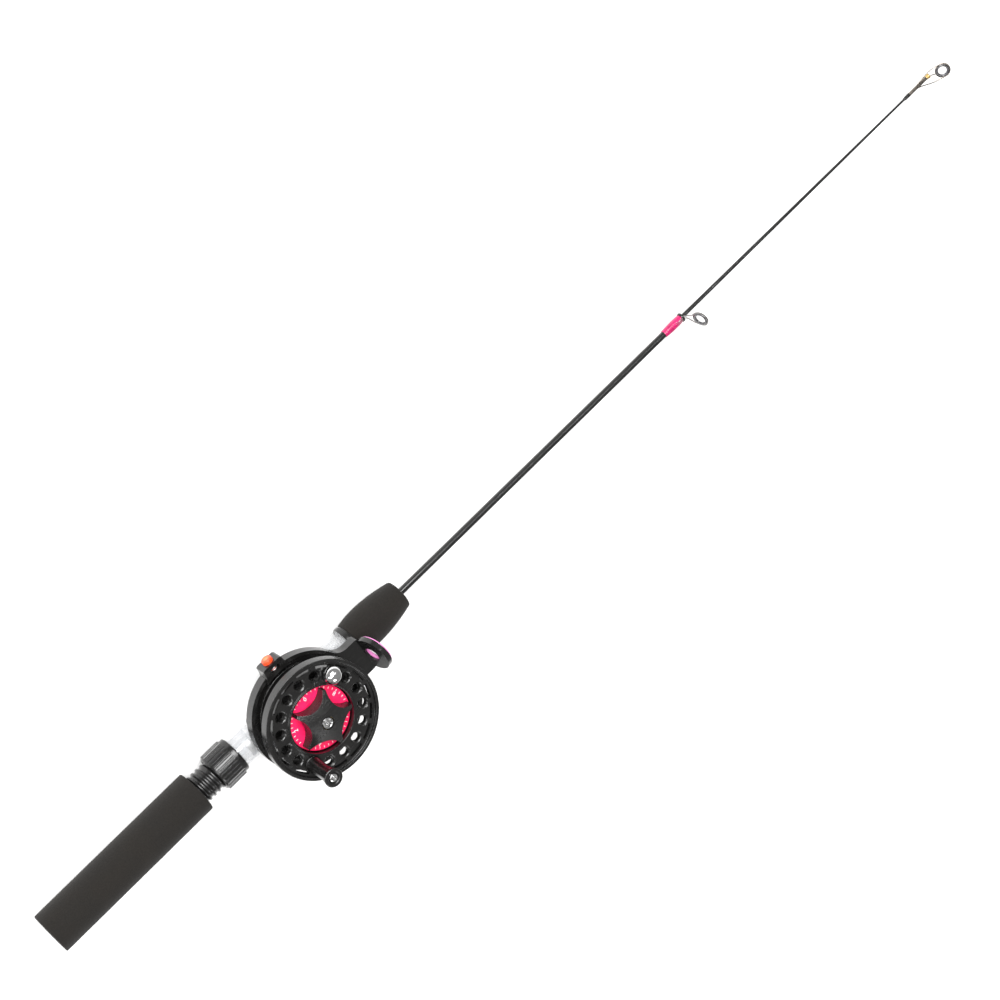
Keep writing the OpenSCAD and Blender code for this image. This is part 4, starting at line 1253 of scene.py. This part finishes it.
tip_band = band("tip_band", tip_centre, tip_lean, tip_ring_r + 0.02, 0.22, 0.9)
tip_top = joined("tip_top_wire", [tip_tube, legs, keel, tip_band])
hand_over(tip_top, "tip section", tip_metal, "chrome", "tip_top_frame")
ring = ceramic_ring("tip_top_ring", tip_centre, tip_lean, tip_ring_r, 2.2)
hand_over(ring, "tip section", guide_ceramic, "ceramic_dark", "tip_ring")

# %% [markdown]
# A drop of black epoxy fairs the tip-top's tube into the blank. It is thin at one end and
# full at the other, as epoxy settles.

# %% Tip sleeve
sleeve_low, sleeve_high = span("tip_sleeve", 0)
tip_sleeve = turned(
    "tip_sleeve_epoxy",
    [(0.6, sleeve_low), (0.72, sleeve_low + 0.1), (0.98, sleeve_low + 1.2), (1.06, sleeve_high - 1)]
    + [(1.04, sleeve_high), (0.6, sleeve_high)],
    axis=X,
    steps=48,
)
rounded(tip_sleeve, 0.08, 2)
hand_over(tip_sleeve, "tip section", tip_lacquer, "tip_black", "tip_sleeve")

# %% [markdown]
# ## Reel foot
#
# A black saddle sits on the seat under the reel, and a curved steel plate in it ends in the
# two toes. The saddle is a block whose upright corners are rounded first, then hollowed to
# fit the seat and the plate.

# %% Saddle
saddle_low, saddle_high = node_box("reel_foot")
saddle = block("saddle_block", saddle_low, saddle_high)
bpy.ops.object.mode_set(mode="EDIT")
bpy.ops.mesh.select_all(action="DESELECT")
bpy.ops.mesh.select_mode(type="EDGE")
bpy.ops.object.mode_set(mode="OBJECT")
for edge in saddle.data.edges:
    first, second = (saddle.data.vertices[v].co for v in edge.vertices)
    edge.select = abs(first.z - second.z) > MM
bpy.ops.object.mode_set(mode="EDIT")
bpy.ops.mesh.bevel(offset=3 * MM, segments=8)
bpy.ops.object.mode_set(mode="OBJECT")
saddle_start, saddle_end = saddle_low.x, saddle_high.x
nut_pocket = bar("pocket", (reel_x, 0, frame_base - 2.5), (reel_x, 0, frame_base + 1), 4.1, steps=64)
cut(
    saddle,
    bar("seat hollow", (saddle_start - 1, 0, 0), (saddle_end + 1, 0, 0), toe_r, steps=128),
    scoop("plate hollow", saddle_start - 1, saddle_end + 1, toe_top + 0.05, toe_width + 0.1),
    nut_pocket,
)
rounded(tidied(saddle), 0.35, 3)
hand_over(saddle, "rod", shiny_black, "black_abs", "reel_foot")

# %% [markdown]
# The plate is bent from steel strip to the seat's curve, and only its toes show. It is the same
# scoop shape as the hoods' pockets, because the two fit each other.

# %% Foot plate
toe_start, toe_end = span("foot_plate", 0)
foot_plate = scoop("foot_plate_toes", toe_start, toe_end, toe_top, toe_width)
cut(foot_plate, bar("under", (toe_start - 1, 0, 0), (toe_end + 1, 0, 0), toe_r, steps=128))
rounded(tidied(foot_plate), 0.3, 3)
hand_over(foot_plate, "rod", steel, "steel", "foot_plate")

# %% [markdown]
# ## Reel frame
#
# The frame is one moulding: a round dish, an arm that carries the ring for the line, and a
# boss for the push button. Its outline is arcs that touch each other, so the arm flows into
# the dish. The dish is hollowed, the boss and the ring are joined on, every edge is rounded,
# and the bores and the window are cut last so that their edges stay crisp.

# %% Outline of the dish and the arm
dish_r = node_box("reel_frame")[0].y * -1
dish_wall = 1.8
hollow_r = dish_r - dish_wall
floor_z = frame_base + 2
lip_z = frame_base + 5.3
arm_half = 9.3
blend_r = 8
ring_lean = 14
ring_r = 9.5
ring_t = 2.6
ring_x = reel_x + 40.4
ring_z = frame_base + 0.5 + ring_r * math.cos(math.radians(ring_lean))
ring_centre = Vector((ring_x, 0, ring_z))
arm_end = ring_x - reel_x - ring_r * math.sin(math.radians(ring_lean)) + ring_t / 2 + 0.4
blend_x = math.sqrt((dish_r + blend_r) ** 2 - (arm_half + blend_r) ** 2)
blend_y = arm_half + blend_r
touch = math.degrees(math.atan2(blend_y, blend_x))
corner_r = 2.5
outline = (
    arc(0, 0, dish_r, touch, 360 - touch, 110)
    + arc(blend_x, -blend_y, blend_r, 180 - touch, 90, 14)
    + arc(arm_end - corner_r, -arm_half + corner_r, corner_r, -90, 0, 6)
    + arc(arm_end - corner_r, arm_half - corner_r, corner_r, 0, 90, 6)
    + arc(blend_x, blend_y, blend_r, 270, 180 + touch, 14)
)
reel_frame = plate("reel_frame_moulding", outline, frame_base, lip_z, at=(reel_x, 0, 0))

# %% [markdown]
# The boss grows out of the dish in two hollow sweeps. Its outline is two large arcs and a flat
# end, it is rounded while it is still alone, and it is then joined to the dish, so that the
# soft top edge runs out into the rim.

# %% Boss for the push button
boss_end = dish_r + 4.2
boss_top = frame_base + 7.6
boss_half = 5.5
flare_r = 11.0
flare_y = boss_end - 0.6
boss_outline = (
    [(-boss_half, flare_y), (-boss_half + 0.9, boss_end), (boss_half - 0.9, boss_end), (boss_half, flare_y)]
    + arc(boss_half + flare_r, flare_y - 0.4, flare_r, 180, 228, 14)
    + [(12.0, 24.0), (-12.0, 24.0)]
    + arc(-boss_half - flare_r, flare_y - 0.4, flare_r, -48, 0, 14)
)
boss = plate("boss", boss_outline, frame_base, boss_top, at=(reel_x, 0, 0))
rounded(boss, 0.9, 4, 40)
fused(reel_frame, boss)
cut(reel_frame, bar("dish hollow", (reel_x, 0, floor_z), (reel_x, 0, boss_top + 2), hollow_r, steps=144))

# %% [markdown]
# The ring at the arm's end leans towards the tip. It is a short bar on its own leaning axis,
# joined to the arm, and all the edges of the moulding are then rounded together.

# %% Ring that carries the insert
ring_axis = leaning(ring_lean)
ring_back = ring_centre - ring_axis * ring_t / 2
ring_front = ring_centre + ring_axis * ring_t / 2
fused(reel_frame, bar("ring", ring_back, ring_front, ring_r, steps=96))
rounded(tidied(reel_frame), 0.45, 3, 28)

# %% [markdown]
# Holes that other pieces fit are cut after the rounding, so they stay crisp and true. The arm
# is hollow underneath, as thick plastic would sink in the mould, and a window shows the
# button's spring.

# %% Bores, pocket and window
button_z = sum(span("release_button", 2)) / 2
button_r = 2.65
core_r = 1.6
chamber = hollow_r + 1.5
insert_r = 6.3
hole_r = 3.6
web_t = 1.0
window_half = 2.5
cut(
    reel_frame,
    bar("line hole", ring_back - ring_axis * 4, ring_front + ring_axis, hole_r + 0.4),
    bar("insert seat", ring_back + ring_axis * web_t, ring_front + ring_axis * 4, insert_r + 0.05),
    bar("flange seat", ring_front, ring_front + ring_axis * 2, ring_r - 0.35),
    bar("chamber", (reel_x, chamber, button_z), (reel_x, boss_end + 3, button_z), button_r + 0.08, steps=64),
    bar("core bore", (reel_x, hollow_r - 2, button_z), (reel_x, chamber, button_z), core_r + 0.08, steps=48),
    bar("axle bore", (reel_x, 0, frame_base - 1), (reel_x, 0, floor_z + 1), 2.45, steps=64),
)
window_low = (reel_x - window_half, chamber + 0.25, button_z)
window = block("window", window_low, (reel_x + window_half, chamber + 2.45, boss_top + 1))
rounded(window, 0.4, 3)
cut(reel_frame, window)
pocket_low = (reel_x + dish_r + 1.5, -arm_half + dish_wall, frame_base - 1)
pocket_high = (ring_x - 7.5, arm_half - dish_wall, frame_base + 3.2)
arm_pocket = block("arm pocket", pocket_low, pocket_high)
rounded(arm_pocket, 1.0, 3)
cut(reel_frame, arm_pocket)
smoothed(reel_frame, 28)
hand_over(reel_frame, "rod", shiny_black, "black_abs", "reel_frame")
print("reel frame:", len(reel_frame.data.polygons), "faces")

# %% [markdown]
# The insert is a hard, slippery ring that the line runs through. Its mouth flares like a
# trumpet, which is a power curve here, and its flange hides the edge of the ring's bore.

# %% Pink insert
half = ring_t / 2
insert_back = web_t + 0.05 - half
insert_front = half + 0.85
throat_end = insert_back + 0.8
flange_out = ring_r - 0.4
flare_len = insert_front - throat_end
flare = [
    (hole_r + 0.05 + flare_len * t**1.6, throat_end + flare_len * t) for t in (1, 0.75, 0.5, 0.25, 0)
]
insert_profile = (
    [(hole_r, insert_back), (insert_r, insert_back), (insert_r, half + 0.05)]
    + [(flange_out, half + 0.05), (flange_out, half + 0.5), (flange_out - 0.3, insert_front)]
    + flare
)
insert = turned("line_ring_insert", insert_profile, ring_centre, ring_axis, 96)
rounded(insert, 0.18, 2)
hand_over(insert, "rod", ring_pink, "insert_pink", "line_guide_insert")

# %% [markdown]
# ## Push button
#
# The button is an orange cap on a plunger. A coil spring round the plunger pushes it out, and
# both show through the window in the boss.

# %% Button, spring and shoe
cap_end = span("release_button", 1)[1]
plunger_start = span("release_button", 1)[0]
cap_start = chamber + 2.8
button = turned(
    "push_button_cap",
    [(0, plunger_start), (core_r, plunger_start), (core_r, cap_start), (button_r, cap_start)]
    + [(button_r, cap_end - 0.7), (button_r - 0.2, cap_end - 0.25), (button_r - 0.7, cap_end)]
    + [(1.2, cap_end), (0.9, cap_end - 0.18), (0, cap_end - 0.22)],
    at=(reel_x, 0, button_z),
    axis=Y,
    steps=64,
    closed=False,
)
rounded(button, 0.12, 2)
hand_over(button, "button", button_orange, "button_orange", "release_button")
spring_r = half_width_x("button_spring") - 0.24
spring_at = (reel_x, 0, button_z)
spring = coil("button_coil", spring_r, 0.24, chamber + 0.05, cap_start - 0.05, 4, spring_at, Y)
hand_over(spring, "rod", steel, "steel", "button_spring")
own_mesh(spring)

# %% [markdown]
# ## Spool
#
# The spool's section is drawn once, hub, groove, flanges and rim, and spun. Holes with
# countersinks and short arc slots are then cut through its front flange: one hole is modelled
# and copied round the axis. Two places in the ring of holes are left for the crank and the
# counterweight.

# %% Section of the spool
spool_low, spool_high = span("spool", 2)
spool_r = half_width("spool")
hub_bore = 3.55
hub_r = 5.6
arbor_r = 15
arbor_in = 13
back_r = 24.2
groove_low = spool_low + 1.5
rim_low = groove_low + 10.9
web_low = rim_low + 0.6
face_z = web_low + 3
seat_z = face_z - 3.8
seat_low = seat_z - 2
recess_r = 16.5
lip_r = recess_r + 1
rim_in = spool_r - 1.7
section = [
    (hub_bore, spool_low), (hub_r, spool_low), (hub_r, seat_low), (arbor_in, seat_low),
    (arbor_in, spool_low), (back_r, spool_low), (back_r, groove_low), (arbor_r, groove_low),
    (arbor_r, seat_low), (lip_r, seat_low), (lip_r, web_low), (rim_in, web_low),
    (rim_in, rim_low), (spool_r, rim_low), (spool_r, spool_high), (rim_in, spool_high),
    (rim_in, face_z), (lip_r, face_z), (lip_r, face_z + 0.6), (recess_r, face_z + 0.6),
    (recess_r, seat_z), (hub_bore, seat_z),
]
spool = turned("spool_turned", section, at=(reel_x, 0, 0), steps=144)
rounded(spool, 0.38, 3)

# %% [markdown]
# The front flange has sixteen places for holes, two of which hold the crank and the
# counterweight, and sixteen short slots further out. One cutter of each kind is turned or
# drawn and copied round, and all of them are cut in one go.

# %% Holes and slots in the flange
places = 16
step_angle = 360 / places
hole_ring = 21.7
crank_angle = 221.6
half_places = places // 2


def round_spool(radius, angle, height):
    turn = math.radians(angle)
    return Vector((reel_x + radius * math.cos(turn), radius * math.sin(turn), height))


sink = turned(
    "countersunk hole",
    [(0, web_low - 1), (2.2, web_low - 1), (2.2, face_z - 0.95), (2.45, face_z - 0.6)]
    + [(3.12, face_z), (3.12, face_z + 1), (0, face_z + 1)],
    at=round_spool(hole_ring, crank_angle, 0),
    steps=40,
    closed=False,
)
holes = copied_round(sink, places, (reel_x, 0, 0), leave_out=(0, half_places))
slot_half = 8.5
slot_outline = arc(0, 0, 26.5, -slot_half, slot_half, 10) + arc(0, 0, 25.2, slot_half, -slot_half, 10)
slot = plate("slot", slot_outline, web_low - 1, face_z + 1)
slot.data.transform(Matrix.Rotation(math.radians(crank_angle + step_angle / 2), 4, "Z"))
slot.data.transform(Matrix.Translation((reel_x * MM, 0, 0)))
slots = copied_round(slot, places, (reel_x, 0, 0))
cut(spool, joined("flange cuts", holes + slots))
smoothed(spool)
hand_over(spool, "spool", spool_black, "spool_black", "spool")
print("spool:", len(spool.data.polygons), "faces")

# %% [markdown]
# ## Dial
#
# A crimson disc lies in the spool's recess. Its scale is plain: forty short lines and the
# numbers 0 to 9, each a thin white print that stands a few hundredths of a millimetre proud.

# %% Dial disc
dial_r = half_width("dial_ring")
dial_low, dial_top = span("dial_ring", 2)
dial = turned(
    "dial_disc",
    [(8.2, dial_low), (dial_r, dial_low), (dial_r, dial_top - 0.2), (dial_r - 0.4, dial_top)]
    + [(9.4, dial_top), (9.0, dial_top - 0.25), (8.2, dial_top - 0.25)],
    at=(reel_x, 0, 0),
    steps=128,
)
rounded(dial, 0.12, 2)
hand_over(dial, "spool", dial_crimson, "dial_crimson", "dial_ring")

# %% [markdown]
# The scale is printed in white. Short bars and text objects become thin meshes just above the
# disc, which look sharper than a pattern in the shader and stay sharp from close by.

# %% Dial print
print_t = 0.05
mark = block("mark", (reel_x + 14.1, -0.13, dial_top - 0.02), (reel_x + 15.1, 0.13, dial_top + print_t))
marks = copied_round(mark, 40, (reel_x, 0, 0))
number_r = 11.9
for digit in range(10):
    clear_selection()
    bpy.ops.object.text_add()
    number = bpy.context.object
    number.data.body = str(digit)
    number.data.size = 2.9 * MM
    number.data.align_x = "CENTER"
    number.data.extrude = print_t / 2 * MM
    number.data.resolution_u = 3
    bpy.ops.object.convert(target="MESH")
    number = bpy.context.object
    angle = math.radians(90 + 36 * digit)
    place = Matrix.Translation(Vector((reel_x, 0, dial_top + print_t / 2 - 0.01)) * MM)
    turn = Matrix.Rotation(angle - math.pi / 2, 4, "Z")
    number.data.transform(place @ turn @ Matrix.Translation((0, number_r * MM, 0)))
    marks.append(number)
dial_print = joined("dial_print", marks)
hand_over(dial_print, "spool", dial_white, "dial_crimson")

# %% [markdown]
# ## Star knob
#
# The drag knob has five blunt points with hollow sides. Its outline is five arcs cut into a
# circle; pulled up, it shares its space with a large ball, and that gives it a top that falls
# away from the middle. The underside is hollow, and the middle is bored for the screw.

# %% Star outline
star_low = span("star_knob", 2)[0]
star_r = 15
star_waist = 8.8
star_h = 8.2
star_fall = 3.6
star_angle = 55
tip_half = 3.2
corner = math.radians(36 - tip_half)
edge_x, edge_y = star_r * math.cos(corner), star_r * math.sin(corner)
hollow_x = (edge_x**2 + edge_y**2 - star_waist**2) / (2 * (edge_x - star_waist))
hollow = hollow_x - star_waist
sweep = math.degrees(math.atan2(edge_y, hollow_x - edge_x))
outline = []
for point in range(5):
    turn = math.radians(star_angle + 36 + 72 * point)
    side = arc(hollow_x, 0, hollow, 180 + sweep, 180 - sweep, 22)
    outline += [
        (x * math.cos(turn) - y * math.sin(turn), x * math.sin(turn) + y * math.cos(turn)) for x, y in side
    ]
star = plate("star_knob_moulding", outline, star_low, star_low + star_h, at=(reel_x, 0, 0))

# %% [markdown]
# The star's top is part of a large ball. Keeping only what the pulled-up star and a turned
# dome share gives that top in one step. The underside is hollow for the spring, and the
# brass insert and the screw get their own holes.

# %% Star top, cavity and screw hole
dome_r = (star_r**2 + star_fall**2) / (2 * star_fall)
dome_profile = arc(0, star_low + star_h - dome_r, dome_r, 90, 55, 36)
dome_profile = [(0, star_low - 1)] + dome_profile + [(dome_profile[-1][0], star_low - 1)]
dome = turned("dome", [(max(x, 0), y) for x, y in dome_profile], at=(reel_x, 0, 0), steps=96)
shaped(star, "INTERSECT", dome)
rounded(tidied(star), 0.35, 3, 32)
screw_seat = span("centre_screw", 2)[1] - 1.5
cut(
    star,
    bar("screw recess", (reel_x, 0, screw_seat), (reel_x, 0, star_low + star_h + 1), 3.2, steps=64),
    bar("insert hole", (reel_x, 0, star_low + 1), (reel_x, 0, screw_seat + 0.1), 3.45, steps=64),
    bar("cavity", (reel_x, 0, star_low - 1), (reel_x, 0, star_low + 2.7), 4.6, steps=64),
)
smoothed(star, 32)
hand_over(star, "drag knob", star_black, "knob_black", "star_knob")

# %% [markdown]
# The screw's head is cupped and has a cross cut in it. The cup is in the turned line, and two
# thin blocks cut the cross.

# %% Centre screw
screw_top = span("centre_screw", 2)[1]
head_low = screw_top - 1.4
screw_low = span("centre_screw", 2)[0]
centre_screw = turned(
    "centre_screw_head",
    [(0, screw_low), (0.9, screw_low), (0.9, head_low), (2.9, head_low), (2.9, screw_top - 0.35)]
    + [(2.6, screw_top), (2.15, screw_top), (1.9, screw_top - 0.25), (1.85, screw_top - 1.2)]
    + [(1.0, screw_top - 1.25), (0.85, screw_top - 0.6), (0, screw_top - 0.5)],
    at=(reel_x, 0, 0),
    steps=64,
    closed=False,
)
cross = [
    block("slot", (reel_x - 1.5, -0.2, screw_top - 0.9), (reel_x + 1.5, 0.2, screw_top - 0.3)),
    block("slot", (reel_x - 0.2, -1.5, screw_top - 0.9), (reel_x + 0.2, 1.5, screw_top - 0.3)),
]
cut(centre_screw, *cross)
rounded(centre_screw, 0.08, 2)
hand_over(centre_screw, "rod", chrome, "chrome", "centre_screw")

# %% [markdown]
# The spring that presses the drag plate is hidden inside the knob, but it is there: three
# turns of wire between the plate and the knob.

# %% Drag spring
spring_low, spring_high = span("drag_spring", 2)
drag_spring = coil("drag_coil", 3.7, 0.38, spring_low, spring_high, 3, (reel_x, 0, 0))
hand_over(drag_spring, "drag knob", steel, "steel", "drag_spring")

# %% [markdown]
# ## Crank and counterweight
#
# The crank knob is waisted and turns on a shoulder screw, whose bright head sits in a recess
# in the knob's end. The counterweight opposite is a polished dome.

# %% Crank knob
knob_low, knob_top = span("crank_knob", 2)
knob_len = knob_top - knob_low
knob_r = half_width("crank_knob")
knob_waist = 3.5
crank_at = round_spool(hole_ring, crank_angle, 0)


def knob_radius(t):
    return knob_waist + (knob_r - knob_waist) * (abs(2 * t - 0.85) / 1.15) ** 2


post_r = 1.6
recess = 1.55
side = [(knob_radius(t), knob_low + t * knob_len) for t in [0.02 + 0.93 * i / 26 for i in range(27)]]
crank_knob = turned(
    "crank_knob_turned",
    [(post_r + 0.08, knob_low), (knob_radius(0) - 0.35, knob_low)]
    + side
    + [(knob_r - 0.15, knob_top - 0.25), (knob_r - 0.55, knob_top), (3.05, knob_top)]
    + [(2.6, knob_top - 0.35), (2.5, knob_top - recess), (post_r + 0.08, knob_top - recess)],
    at=crank_at,
    steps=72,
)
rounded(crank_knob, 0.15, 2)
hand_over(crank_knob, "crank knob", knob_black, "knob_black", "crank_knob")

# %% [markdown]
# The knob turns on a shoulder screw. Its head sits in the knob's end with a cross cut in it,
# and its shank goes down into the spool's flange.

# %% Crank post
post_low, post_top = span("crank_post", 2)
post = turned(
    "crank_post_screw",
    [(0, post_low), (post_r - 0.02, post_low), (post_r - 0.02, post_top - 1.4), (2.15, post_top - 1.4)]
    + [(2.15, post_top - 0.5), (1.9, post_top - 0.15), (1.4, post_top), (0, post_top)],
    at=crank_at,
    steps=48,
    closed=False,
)
cx, cy = crank_at.x, crank_at.y
cross = [
    block("slot", (cx - 1.3, cy - 0.25, post_top - 0.6), (cx + 1.3, cy + 0.25, post_top + 1)),
    block("slot", (cx - 0.25, cy - 1.3, post_top - 0.6), (cx + 0.25, cy + 1.3, post_top + 1)),
]
cut(post, *cross)
rounded(post, 0.07, 2)
hand_over(post, "spool", chrome, "chrome", "crank_post")

# %% [markdown]
# The counterweight balances the crank. It is a polished dome on a narrow neck, turned from
# one line whose dome is an arc through its rim and its top.

# %% Counterweight
weight_low, weight_top = span("counterweight", 2)
weight_r = half_width("counterweight")
head_low = face_z + 0.75
rim_top = head_low + 1.6
dome_h = weight_top - rim_top
dome_r = (weight_r**2 + dome_h**2) / (2 * dome_h)
dome_angle = math.degrees(math.asin(weight_r / dome_r))
weight = turned(
    "counterweight_dome",
    [(0, weight_low), (post_r - 0.02, weight_low), (post_r - 0.02, face_z + 0.05), (3, face_z + 0.05)]
    + [(3, head_low), (weight_r - 0.2, head_low), (weight_r, head_low + 0.3)]
    + arc(0, weight_top - dome_r, dome_r, 90 - dome_angle, 90, 12),
    at=round_spool(hole_ring, crank_angle + 180, 0),
    steps=64,
    closed=False,
)
only(weight)
bpy.ops.object.shade_smooth_by_angle(angle=math.radians(35))
hand_over(weight, "spool", chrome, "chrome", "counterweight")

# %% [markdown]
# ## Pieces that keep their CAD mesh
#
# What is turned or cut plain, and mostly hidden, already has its real shape in CAD: the
# axle and its nut, the bushes, washers and screws. These keep their mesh and get a finish.

# %% Refinish the plain pieces
refinish(tube_grey, "handle_tube")
refinish(inner_black, "blank_bushing", "brake_shoe")
refinish(steel, "foot_screws", "spool_axle", "axle_nut", "drag_plate", "crank_washer")
refinish(brass, "spool_bush", "knob_insert")
refinish(felt, "drag_washer")

# %% [markdown]
# ## Floor, light and camera
#
# The rod lies on a white sweep under soft light. A large lamp above the +Y side gives the
# long highlights and the faint shadow, and a pale world fills in the rest.

# %% Floor
floor_material = Finish("white_sweep", Roughness=0.9)
paper = floor_material.noise(40, detail=2)
floor_material.drive(Base_Color=floor_material.mixed(paper, grey(0.9, 0.004), grey(0.93, 0.004)))
clear_selection()
bpy.ops.mesh.primitive_plane_add(size=6, location=(0.3, 0, cad_low.z - 0.0004))
floor = settled("floor")
floor.data.materials.append(floor_material.material)

# %% [markdown]
# Black plastic shows nothing but reflections, so the lamps are large and soft. The key lamp
# gives the broad highlights, a narrow strip draws the thin line along the blanks, and two weak
# lamps lift the sides that face away.

# %% Light
world = bpy.data.worlds.new("studio")
world.use_nodes = True
world.node_tree.nodes["Background"].inputs["Color"].default_value = (1.0, 0.995, 0.985, 1)
world.node_tree.nodes["Background"].inputs["Strength"].default_value = 0.4
bpy.context.scene.world = world


def soft_light(name, place, aim, size, power):
    clear_selection()
    place, aim = Vector(place), Vector(aim)
    turn = (aim - place).to_track_quat("-Z", "Y").to_euler()
    bpy.ops.object.light_add(type="AREA", location=place, rotation=turn)
    light = bpy.context.object
    light.name = name
    light.data.shape = "RECTANGLE"
    light.data.size, light.data.size_y = size
    light.data.energy = power


soft_light("key", (0.1, 1.0, 1.25), (0.3, 0, 0), (1.0, 0.7), 38)
soft_light("side", (-0.8, 0.35, 0.9), (0.15, 0, 0), (0.35, 0.9), 6)
soft_light("fill", (-0.3, -0.95, 1.0), (0.35, 0, 0), (0.6, 0.4), 6)
soft_light("strip", (0.3, 0.55, 1.5), (0.3, 0, 0), (1.8, 0.04), 12)

# %% [markdown]
# A long lens well away from the rod keeps its shape honest. It looks down on the reel's face
# and is rolled so that the rod runs up across the frame.

# %% Camera
camera_place = Vector((-20.5, 628.8, 984.3)) * MM
camera_aim = Vector((293.7, -2.2, 0)) * MM
camera_roll = math.radians(113.58)
clear_selection()
bpy.ops.object.camera_add(location=camera_place)
camera = bpy.context.object
look = (camera_aim - camera_place).to_track_quat("-Z", "Y")
camera.rotation_mode = "QUATERNION"
camera.rotation_quaternion = look @ Quaternion((0, 0, 1), camera_roll)
camera.data.sensor_width = 36
camera.data.lens = 90
bpy.context.scene.camera = camera
bpy.context.scene.view_settings.view_transform = "Standard"
